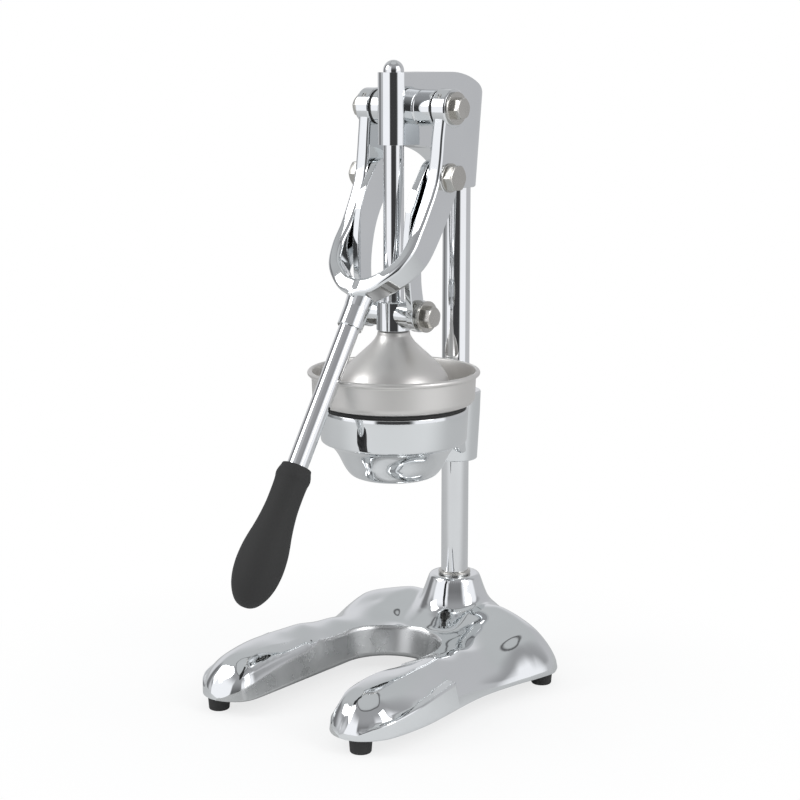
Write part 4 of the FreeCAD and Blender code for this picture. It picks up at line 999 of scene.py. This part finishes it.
def neck_sections():
    """Web between the holder's band and the clamp: wide at both ends, drawn in at the middle."""
    sections = []
    for y, half, high, low in ((94, 21, 255.4, 228.5), (100, 19.5, 255.4, 226), (105, 18, 255.4, 214),
                               (110, 17.5, 255.4, 207), (116, 18.5, 255.8, 202), (124, 19, 256, 200)):
        ring = rounded([(-half, low, 3.5), (half, low, 3.5), (half, high, 2.5), (-half, high, 2.5)], 4)
        sections.append([(p.x, y, p.y) for p in ring])
    return sections


# Lever, handle and links

FORK = [
    (41.0, 0.0, 4.0, 27.0, 13.0), (40.5, 0.6, 24.0, 31.0, 13.0), (40.2, 2.6, 44.0, 31.5, 13.5),
    (39.8, 6.6, 64.0, 31.0, 13.5), (39.6, 12.6, 78.0, 30.5, 13.5), (39.4, 20.0, 91.0, 29.5, 13.0),
    (39.2, 30.0, 107.0, 28.5, 12.5), (39.4, 42.5, 122.5, 26.0, 12.0), (34.2, 55.2, 135.5, 22.5, 12.0),
    (22.5, 63.0, 145.0, 22.0, 13.0), (8.0, 66.5, 151.5, 23.0, 15.0), (-4.0, 69.5, 155.5, 22.5, 15.5),
]


def smooth_stations(stations, per):
    """Catmull-Rom between rows of numbers."""
    rows = [np.array(s, dtype=float) for s in stations]
    rows = [rows[0] * 2 - rows[1]] + rows + [rows[-1] * 2 - rows[-2]]
    out = []
    for i in range(1, len(rows) - 2):
        p0, p1, p2, p3 = rows[i - 1:i + 3]
        for k in range(per):
            t = k / per
            out.append(0.5 * (2 * p1 + (p2 - p0) * t + (2 * p0 - 5 * p1 + 4 * p2 - p3) * t * t
                              + (3 * p1 - p0 - 3 * p2 + p3) * t ** 3))
    out.append(rows[-2])
    return out


def arm_sections(sign):
    stations = smooth_stations(FORK, 6)
    spots = [Vector((s[0], PIVOT[0] - s[1], PIVOT[1] - s[2])) for s in stations]
    sections = []
    for i, (x, ahead, below, width, thick) in enumerate(stations):
        forward = spots[min(i + 1, len(spots) - 1)] - spots[max(i - 1, 0)]
        forward.normalize()
        flat = Vector((0, forward.y, forward.z))
        across = Vector((1, 0, 0)).cross(flat).normalized()
        across = (across - forward * across.dot(forward)).normalized()
        along = forward.cross(across).normalized()
        ring = rounded([(-width / 2, -thick / 2, 3.6), (width / 2, -thick / 2, 3.6),
                        (width / 2, thick / 2, 3.6), (-width / 2, thick / 2, 3.6)], 5)
        section = [spots[i] + across * p.x + along * p.y for p in ring]
        sections.append([(sign * p.x, p.y, p.z) for p in section])
    return sections


class PRESS_OT_fork(bpy.types.Operator):
    """Builds the lever's fork with its rings, bosses and handle socket"""
    bl_idname = "press.fork"
    bl_label = "Fork"

    def execute(self, context):
        shape = chrome()
        parts = []
        ring = rounded([(8.02, 34.5), (15.6, 34.5, 0.5), (16.5, 35.4, 0.5), (16.5, 47.4, 0.7),
                        (15.4, 48.5, 0.4), (8.02, 48.5)])
        boss = rounded([(6.02, 33.0), (14.5, 33.0), (14.5, 45.4, 0.5), (13.0, 47.0, 0.4), (6.02, 47.0)])
        for sign, word in ((1, "right"), (-1, "left")):
            parts.append(loft("fork_arm_" + word, arm_sections(sign), None, shape, 50))
            parts.append(lathe("fork_ring_" + word, ring, None, shape, (0, PIVOT[0], PIVOT[1]), (sign, 0, 0)))
            parts.append(lathe("fork_boss_" + word, boss, None, shape, (0, MID[0], MID[1]), (sign, 0, 0)))
        parts.append(lathe("fork_socket", rounded([(0, -46), (12.4, -46, 2), (11.6, -34, 6), (11.0, -26, 8),
                                                   (11.0, -8, 0.6), (9.02, -8), (9.02, -20), (0, -20)]),
                           None, shape, (0, HANDLE[0], HANDLE[1]), DOWN))
        fork = join("fork_casting", parts)
        dress(fork, "lever", shape, 40)
        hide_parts("lever_fork")
        return {"FINISHED"}


class PRESS_OT_handle(bpy.types.Operator):
    """Builds the handle's rod and grip"""
    bl_idname = "press.handle"
    bl_label = "Handle"

    def execute(self, context):
        at = (0, HANDLE[0], HANDLE[1])
        rod = lathe("handle_bar", rounded([(0, -37.5), (9, -37.5), (9, 125), (6, 125), (6, 200), (0, 200)]),
                    "lever", bar_chrome(), at, DOWN)
        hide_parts("handle_rod")
        outer = smooth_line([(12.2, 120.0), (12.7, 120.4), (13.2, 122.5), (14.4, 126.0), (14.9, 128.6),
                             (14.8, 131.0), (14.3, 133.6), (14.0, 138.0), (13.9, 146.0), (14.1, 156.0),
                             (15.0, 166.0), (16.6, 177.0), (18.4, 186.0), (19.8, 195.0), (20.45, 205.0),
                             (20.2, 213.0), (19.0, 221.5), (16.6, 229.5), (13.2, 236.0), (9.2, 240.8),
                             (4.6, 243.4), (0.0, 244.0)], 5)
        grip = lathe("grip_body", [(9.02, 120.0)] + [(max(p.x, 0), p.y) for p in outer]
                     + [(0, 202), (6.02, 202), (6.02, 126), (9.02, 126)], "lever", grip_plastic(), at, DOWN,
                     sharp=60)
        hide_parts("hand_grip")
        return {"FINISHED"}


def link_outline():
    """A link's curved outline in (y, z), round both of its eyes."""
    top = (MID[0], MID[1])
    low = LOW
    out = circle_points(14.8, top, -33.5, 146.0, 40)
    front = [(low[0] - 10.4, low[1] + 103.0), (low[0] - 15.9, low[1] + 84.0), (low[0] - 18.6, low[1] + 62.0),
             (low[0] - 18.0, low[1] + 40.0), (low[0] - 15.6, low[1] + 20.0)]
    start = (out[-1].x, out[-1].y)
    end = (low[0] - 12.9, low[1] + 5.0)
    out += smooth_line([start] + front + [end], 7)[1:]
    out += circle_points(13.9, low, 160, 440, 56)[1:]
    back = [(low[0] - 0.2, low[1] + 30.0), (low[0] + 0.2, low[1] + 50.0), (low[0] + 5.8, low[1] + 74.0),
            (low[0] + 16.2, low[1] + 94.0)]
    start = (out[-1].x, out[-1].y)
    out += smooth_line([start] + back + [(top[0] + 12.3, top[1] - 8.2)], 7)[1:-1]
    return out


class PRESS_OT_links(bpy.types.Operator):
    """Builds the two curved links"""
    bl_idname = "press.links"
    bl_label = "Links"

    def execute(self, context):
        for sign, word in ((1, "right"), (-1, "left")):
            low, high = sorted((sign * 24.3, sign * 31.0))
            link = plate("link_bar_" + word, link_outline(), low, high, 0.9, word + "_link_body", chrome())
            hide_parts(word + "_link")
        return {"FINISHED"}


def hex_head(name, flats, tall, at, sign, turn, body, material):
    """Hexagon head with rounded edges and a turned chamfer on its outer end."""
    reach = flats / 2 / math.cos(math.pi / 6)
    corners = [(p.x, p.y, 0.6) for p in circle_points(reach, (0, 0), turn, turn + 300, 5)]
    loop = rounded(corners, 3)
    dense = []
    for i, p in enumerate(loop):
        after = loop[(i + 1) % len(loop)]
        pieces = 6 if (after - p).length > 3 else 1
        dense.extend([p + (after - p) * k / pieces for k in range(pieces)])
    sections = []
    face = flats * 0.475
    for level in (0.0, 0.5, 1.0):
        sections.append([(p.x, p.y, level * (tall - 2.2)) for p in dense])
    for t in (0.25, 0.5, 0.75, 1.0):
        row = []
        for p in dense:
            reach = p.length
            full = tall - max(0.0, reach - face) * 0.52
            r = reach + (min(face, reach) - reach) * t
            row.append((p.x * r / reach, p.y * r / reach,
                        full + (tall - full) * t))
        sections.append(row)
    sections.append([(p[0] * 0.96, p[1] * 0.96, tall) for p in sections[-1]])
    sections.append([(p[0] * 0.5, p[1] * 0.5, tall) for p in sections[-1]])
    placed = []
    for section in sections:
        placed.append([(at[0] + sign * z, at[1] + x, at[2] + sign * y) for x, y, z in section])
    return loft(name, placed, body, material, 24)


def disc(name, outer, inner, start, thick, at, sign, body, material):
    """Washer on a cross axis, with its rims eased."""
    edge = 0.35
    return lathe(name, rounded([(inner, start), (outer, start, edge), (outer, start + thick, edge),
                                (inner, start + thick)]), body, material, (0, at[0], at[1]), (sign, 0, 0), 96)


class PRESS_OT_fasteners(bpy.types.Operator):
    """Builds the hexagon bolts and washers at the pivots"""
    bl_idname = "press.fasteners"
    bl_label = "Pivot fasteners"

    def execute(self, context):
        steel = nickel()
        heads = []
        discs = []
        mid_heads = []
        mid_discs = []
        shade_dark_washers = []
        for sign, word in ((1, "right"), (-1, "left")):
            discs.append(disc("pivot_disc_" + word, 13.9, 5.3, 48.5, 2.4, PIVOT, sign, None, steel))
            heads.append(hex_head("pivot_hex_" + word, 16.8, 7.0, (sign * 50.9, PIVOT[0], PIVOT[1]), sign,
                                  10, None, steel))
            mid_discs.append(disc("mid_disc_" + word, 12.4, 6.2, 47.0, 1.6, MID, sign, None, steel))
            mid_heads.append(hex_head("mid_hex_" + word, 20.8, 8.0, (sign * 48.6, MID[0], MID[1]), sign,
                                      0, None, steel))
            # Washers beside the trunnion, given the dark rubber as painted shade: the gaps there are dark
            # because they lie in shade.
            shade_dark_washers.append(disc("trunnion_disc_" + word, 15.0, 8.2, 32.0, 2.0, PIVOT, sign, None, rubber_and_painted_shade()))
            low_disc = disc("low_disc_" + word, 13.6, 6.2, 35.35, 2.4, LOW, sign, None, steel)
            spacer = disc("low_spacer_" + word, 11.0, 6.2, 31.1, 4.2, LOW, sign, None, steel)
            body = word + "_link_body"
            washers = join("low_washers_" + word, [low_disc, spacer])
            dress(washers, body, steel, 30)
            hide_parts(word + "_link_washers")
            hexa = hex_head("low_hex_" + word, 16.8, 7.0, (sign * 37.8, LOW[0], LOW[1]), sign,
                            15, None, steel)
            outline = rounded([(0, 24.6), (5.4, 24.6), (6, 25.2), (6, 37.8), (0, 37.8)])
            shank = lathe("low_shank_" + word, outline, None, steel, (0, LOW[0], LOW[1]), (sign, 0, 0), 64)
            bolt = join("low_bolt_" + word, [hexa, shank])
            dress(bolt, body, steel, 24)
            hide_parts(word + "_link_bolt")
        for pieces, name, node, body, sharp in (
                (heads, "pivot_hexagons", "pivot_bolts", "lever", 24),
                (discs, "pivot_discs", "pivot_washers", "lever", 30),
                (mid_heads, "mid_hexagons", "mid_pivot_bolts", "lever", 24),
                (mid_discs, "mid_discs", "mid_pivot_washers", "lever", 30)):
            whole = join(name, pieces)
            dress(whole, body, steel, sharp)
            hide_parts(node)
        whole = join("trunnion_discs", shade_dark_washers)
        dress(whole, "frame", rubber_and_painted_shade(), 30)
        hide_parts("thrust_washers")
        return {"FINISHED"}


class PRESS_OT_feet(bpy.types.Operator):
    """Builds the four feet"""
    bl_idname = "press.feet"
    bl_label = "Feet"

    def execute(self, context):
        pieces = []
        for x, y in FEET:
            pieces.append(lathe("foot", rounded([(5.2, 0), (8.4, 0, 0.8), (9.0, 0.9, 0.4), (10.0, 14.0, 0.3),
                                                 (5.2, 14.0)]), None, rubber_and_painted_shade(), (x, y, 0), segments=96))
        feet = join("feet", pieces)
        dress(feet, "frame", rubber_and_painted_shade(), 40)
        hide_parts("rubber_feet")
        return {"FINISHED"}


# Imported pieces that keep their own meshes
KEPT = {
    "foot_screws": nickel, "post_washer": nickel, "post_nut": nickel, "head_set_screw": dark_steel,
    "holder_set_screw": dark_steel, "crosshead_set_screw": dark_steel, "cone_lock_nut": nickel,
    "fork_set_screws": nickel, "handle_pin": nickel, "pivot_shaft": nickel,
}


class PRESS_OT_kept(bpy.types.Operator):
    """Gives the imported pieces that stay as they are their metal"""
    bl_idname = "press.kept"
    bl_label = "Kept pieces"

    def execute(self, context):
        for name, maker in KEPT.items():
            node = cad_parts[name]
            for slot in node.material_slots:
                slot.material = maker()
        return {"FINISHED"}


# Stage: floor, world, lamps and camera

class PRESS_OT_stage(bpy.types.Operator):
    """Builds the floor, the world, the lamps and the camera"""
    bl_idname = "press.stage"
    bl_label = "Stage"

    def execute(self, context):
        scene = context.scene
        build_floor()
        build_world(scene)
        build_lamps()
        build_camera(scene)
        scene.view_settings.view_transform = "Standard"
        return {"FINISHED"}


def build_floor():
    """Round white floor that fades into the white backdrop for the camera and keeps the object's shadow.
    Bright metal sees it partly as a glow, a painted reflection that is light grey on the camera's side and
    darker away from it.
    """
    mesh = bpy.data.meshes.new("floor")
    rim = [(p.x, p.y, 0) for p in circle_points(1.45, (0, 0), 0, 355, 71)]
    mesh.from_pydata(rim, [], [tuple(range(len(rim)))])
    floor = bpy.data.objects.new("floor", mesh)
    bpy.context.scene.collection.objects.link(floor)
    material = bpy.data.materials.new("floor_white")
    material.use_nodes = True
    tree = material.node_tree
    tree.nodes.clear()
    out = tree.nodes.new("ShaderNodeOutputMaterial")
    plain = tree.nodes.new("ShaderNodeBsdfDiffuse")
    plain.inputs["Color"].default_value = (0.9, 0.9, 0.9, 1)
    glow = tree.nodes.new("ShaderNodeEmission")
    glow.inputs["Color"].default_value = (*sizes().backdrop, 1)
    # Painted reflection: to glossy rays the floor partly glows, light grey on the camera's side and darker
    # away from it.
    painted_reflection_glow = tree.nodes.new("ShaderNodeEmission")
    coords = tree.nodes.new("ShaderNodeTexCoord")
    unit = tree.nodes.new("ShaderNodeVectorMath")
    unit.operation = "NORMALIZE"
    ahead = tree.nodes.new("ShaderNodeVectorMath")
    ahead.operation = "DOT_PRODUCT"
    turn = math.radians(CAMERA_TURN)
    ahead.inputs[1].default_value = (math.sin(turn), -math.cos(turn), 0)
    shade = tree.nodes.new("ShaderNodeMapRange")
    shade.interpolation_type = "SMOOTHSTEP"
    shade.inputs["From Min"].default_value = -0.1
    shade.inputs["From Max"].default_value = 0.7
    tree.links.new(coords.outputs["Object"], unit.inputs[0])
    tree.links.new(unit.outputs["Vector"], ahead.inputs[0])
    tree.links.new(ahead.outputs["Value"], shade.inputs["Value"])
    tree.links.new(tint(tree, shade.outputs["Result"], (0.30, 0.305, 0.31), (0.62, 0.63, 0.64)),
                   painted_reflection_glow.inputs["Color"])
    reach_node = tree.nodes.new("ShaderNodeVectorMath")
    reach_node.operation = "LENGTH"
    fade = tree.nodes.new("ShaderNodeMapRange")
    fade.inputs["From Min"].default_value = 0.10
    fade.inputs["From Max"].default_value = 0.42
    fade.inputs["To Min"].default_value = 0.72
    fade.inputs["To Max"].default_value = 1.0
    path = tree.nodes.new("ShaderNodeLightPath")
    factor = tree.nodes.new("ShaderNodeMath")
    factor.operation = "MULTIPLY"
    mirrored = tree.nodes.new("ShaderNodeMath")
    mirrored.operation = "MULTIPLY"
    mirrored.inputs[1].default_value = 0.6
    mix = tree.nodes.new("ShaderNodeMixShader")
    second = tree.nodes.new("ShaderNodeMixShader")
    links = tree.links
    links.new(coords.outputs["Object"], reach_node.inputs[0])
    links.new(reach_node.outputs["Value"], fade.inputs["Value"])
    links.new(path.outputs["Is Camera Ray"], factor.inputs[0])
    links.new(fade.outputs["Result"], factor.inputs[1])
    links.new(path.outputs["Is Glossy Ray"], mirrored.inputs[0])
    links.new(mirrored.outputs["Value"], second.inputs["Fac"])
    links.new(plain.outputs["BSDF"], second.inputs[1])
    links.new(painted_reflection_glow.outputs["Emission"], second.inputs[2])
    links.new(factor.outputs["Value"], mix.inputs["Fac"])
    links.new(second.outputs["Shader"], mix.inputs[1])
    links.new(glow.outputs["Emission"], mix.inputs[2])
    links.new(mix.outputs["Shader"], out.inputs["Surface"])
    mesh.materials.append(material)


# What bright metal mirrors: grey room and ceiling, a white sheet at each side of the camera, dark between.
# azimuth is measured from the way the camera looks, positive to the right; both in degrees.
PATCHES = [
    # azimuth, half width, elevation, half height, softness across and up, brightness
    (0, 95, 13, 16, 50, 22, 0.74),
    (62, 42, 0, 40, 26, 20, 0.54),
    (-62, 13, -5, 40, 14, 14, 0.20),
    (180, 100, 40, 24, 24, 10, 0.36),
    (-124, 28, 4, 36, 9, 24, 1.05),
    (122, 27, 4, 36, 9, 24, 1.02),
    (180, 26, -8, 30, 8, 44, 0.05),
    (180, 180, 63, 1.1, 2, 2.4, 0.10),
]


def build_world(scene):
    """White to the camera, plain light on the object, and the studio's pattern to mirrors."""
    world = bpy.data.worlds.new("studio")
    scene.world = world
    world.use_nodes = True
    tree = world.node_tree
    nodes, links = tree.nodes, tree.links
    nodes.clear()
    out = nodes.new("ShaderNodeOutputWorld")
    coords = nodes.new("ShaderNodeTexCoord")
    turn = nodes.new("ShaderNodeVectorRotate")
    turn.rotation_type = "Z_AXIS"
    turn.inputs["Angle"].default_value = -math.radians(CAMERA_TURN)
    split = nodes.new("ShaderNodeSeparateXYZ")
    links.new(coords.outputs["Generated"], turn.inputs["Vector"])
    links.new(turn.outputs["Vector"], split.inputs["Vector"])

    def math_node(operation, first, second=None, third=None):
        """Math node on sockets or plain numbers. Returns its output."""
        node = nodes.new("ShaderNodeMath")
        node.operation = operation
        for index, value in enumerate((first, second, third)):
            if value is None:
                continue
            if isinstance(value, (int, float)):
                node.inputs[index].default_value = value
            else:
                links.new(value, node.inputs[index])
        return node.outputs["Value"]

    azimuth = math_node("ARCTAN2", split.outputs["X"], split.outputs["Y"])
    elevation = math_node("ARCSINE", split.outputs["Z"])
    sky = nodes.new("ShaderNodeValToRGB")
    sky.color_ramp.interpolation = "EASE"
    stops = [(0.0, 0.42), (0.34, 0.38), (0.45, 0.33), (0.52, 0.36), (0.60, 0.46), (0.72, 0.54), (1.0, 0.56)]
    elements = sky.color_ramp.elements
    while len(elements) < len(stops):
        elements.new(0.5)
    for element, (place, level) in zip(elements, stops):
        element.position = place
        element.color = (level * 0.975, level * 0.995, level * 1.01, 1)
    links.new(math_node("MULTIPLY_ADD", elevation, 1 / math.pi, 0.5), sky.inputs["Fac"])
    colour = sky.outputs["Color"]
    for middle, half, height, tall, soft, soft_up, level in PATCHES:
        away = math_node("SUBTRACT", azimuth, math.radians(middle))
        away = math_node("WRAP", away, math.pi, -math.pi)
        away = math_node("ABSOLUTE", away)
        beside = math_node("SUBTRACT", away, math.radians(half))
        over = math_node("ABSOLUTE", math_node("SUBTRACT", elevation, math.radians(height)))
        over = math_node("SUBTRACT", over, math.radians(tall))
        shares = []
        for gap, blur in ((beside, soft), (over, soft_up)):
            share = nodes.new("ShaderNodeMapRange")
            share.interpolation_type = "SMOOTHSTEP"
            share.inputs["From Min"].default_value = -math.radians(blur) / 2
            share.inputs["From Max"].default_value = math.radians(blur) / 2
            share.inputs["To Min"].default_value = 1.0
            share.inputs["To Max"].default_value = 0.0
            links.new(gap, share.inputs["Value"])
            shares.append(share.outputs["Result"])
        inside_patch = math_node("MULTIPLY", shares[0], shares[1])
        mix = nodes.new("ShaderNodeMix")
        mix.data_type = "RGBA"
        links.new(inside_patch, mix.inputs["Factor"])
        links.new(colour, mix.inputs["A"])
        mix.inputs["B"].default_value = (level, level, level * 1.03, 1)
        colour = mix.outputs["Result"]
    mirror = nodes.new("ShaderNodeBackground")
    links.new(colour, mirror.inputs["Color"])
    plain = nodes.new("ShaderNodeBackground")
    plain.inputs["Color"].default_value = (0.8, 0.81, 0.82, 1)
    white = nodes.new("ShaderNodeBackground")
    white.inputs["Color"].default_value = (*sizes().backdrop, 1)
    path = nodes.new("ShaderNodeLightPath")
    first = nodes.new("ShaderNodeMixShader")
    links.new(path.outputs["Is Glossy Ray"], first.inputs["Fac"])
    links.new(plain.outputs["Background"], first.inputs[1])
    links.new(mirror.outputs["Background"], first.inputs[2])
    second = nodes.new("ShaderNodeMixShader")
    links.new(path.outputs["Is Camera Ray"], second.inputs["Fac"])
    links.new(first.outputs["Shader"], second.inputs[1])
    links.new(white.outputs["Background"], second.inputs[2])
    links.new(second.outputs["Shader"], out.inputs["Surface"])


def add_lamp(name, place, aim, wide, tall, power):
    """Rectangular lamp aimed at a point."""
    lamp = bpy.data.lights.new(name, "AREA")
    lamp.shape = "RECTANGLE"
    lamp.size = wide
    lamp.size_y = tall
    lamp.energy = power
    piece = bpy.data.objects.new(name, lamp)
    piece.location = place
    piece.rotation_euler = (Vector(aim) - Vector(place)).to_track_quat("-Z", "Y").to_euler()
    bpy.context.scene.collection.objects.link(piece)
    return piece


def build_lamps():
    add_lamp("lamp_left", (-1.1, -1.1, 1.3), (0, 0, 0.3), 0.7, 1.0, 9.0)
    add_lamp("lamp_right", (1.5, 0.1, 1.1), (0, 0, 0.3), 0.6, 1.0, 7.0)


def build_camera(scene):
    camera = bpy.data.cameras.new("camera")
    camera.sensor_width = 36.0
    camera.lens = 81.04
    eye = bpy.data.objects.new("camera", camera)
    a = math.radians(CAMERA_TURN)
    p = math.radians(CAMERA_DROP)
    look = Vector((-math.sin(a) * math.cos(p), math.cos(a) * math.cos(p), -math.sin(p)))
    eye.location = (0.9690, -1.1770, 0.5644)
    eye.rotation_euler = look.to_track_quat("-Z", "Y").to_euler()
    scene.collection.objects.link(eye)
    scene.camera = eye


class PRESS_PT_panel(bpy.types.Panel):
    """Lists the pieces and sizes"""
    bl_idname = "PRESS_PT_panel"
    bl_label = "Lever citrus press"
    bl_space_type = "VIEW_3D"
    bl_region_type = "UI"
    bl_category = "Press"

    def draw(self, context):
        for name in ("post_radius", "ram_radius", "cup_radius", "backdrop"):
            self.layout.prop(context.scene.press_sizes, name)
        for operator in OPERATORS:
            self.layout.operator(operator.bl_idname)


OPERATORS = (PRESS_OT_base, PRESS_OT_post, PRESS_OT_head, PRESS_OT_ram, PRESS_OT_cup, PRESS_OT_holder,
             PRESS_OT_fork, PRESS_OT_handle, PRESS_OT_links, PRESS_OT_fasteners, PRESS_OT_feet, PRESS_OT_kept,
             PRESS_OT_stage)
CLASSES = (PressSizes,) + OPERATORS + (PRESS_PT_panel,)


def register():
    for cls in CLASSES:
        bpy.utils.register_class(cls)
    bpy.types.Scene.press_sizes = PointerProperty(type=PressSizes)


def unregister():
    del bpy.types.Scene.press_sizes
    for cls in reversed(CLASSES):
        bpy.utils.unregister_class(cls)


def main():
    register()
    for operator in OPERATORS:
        group, name = operator.bl_idname.split(".")
        getattr(getattr(bpy.ops, group), name)()


if __name__ == "__main__":
    main()
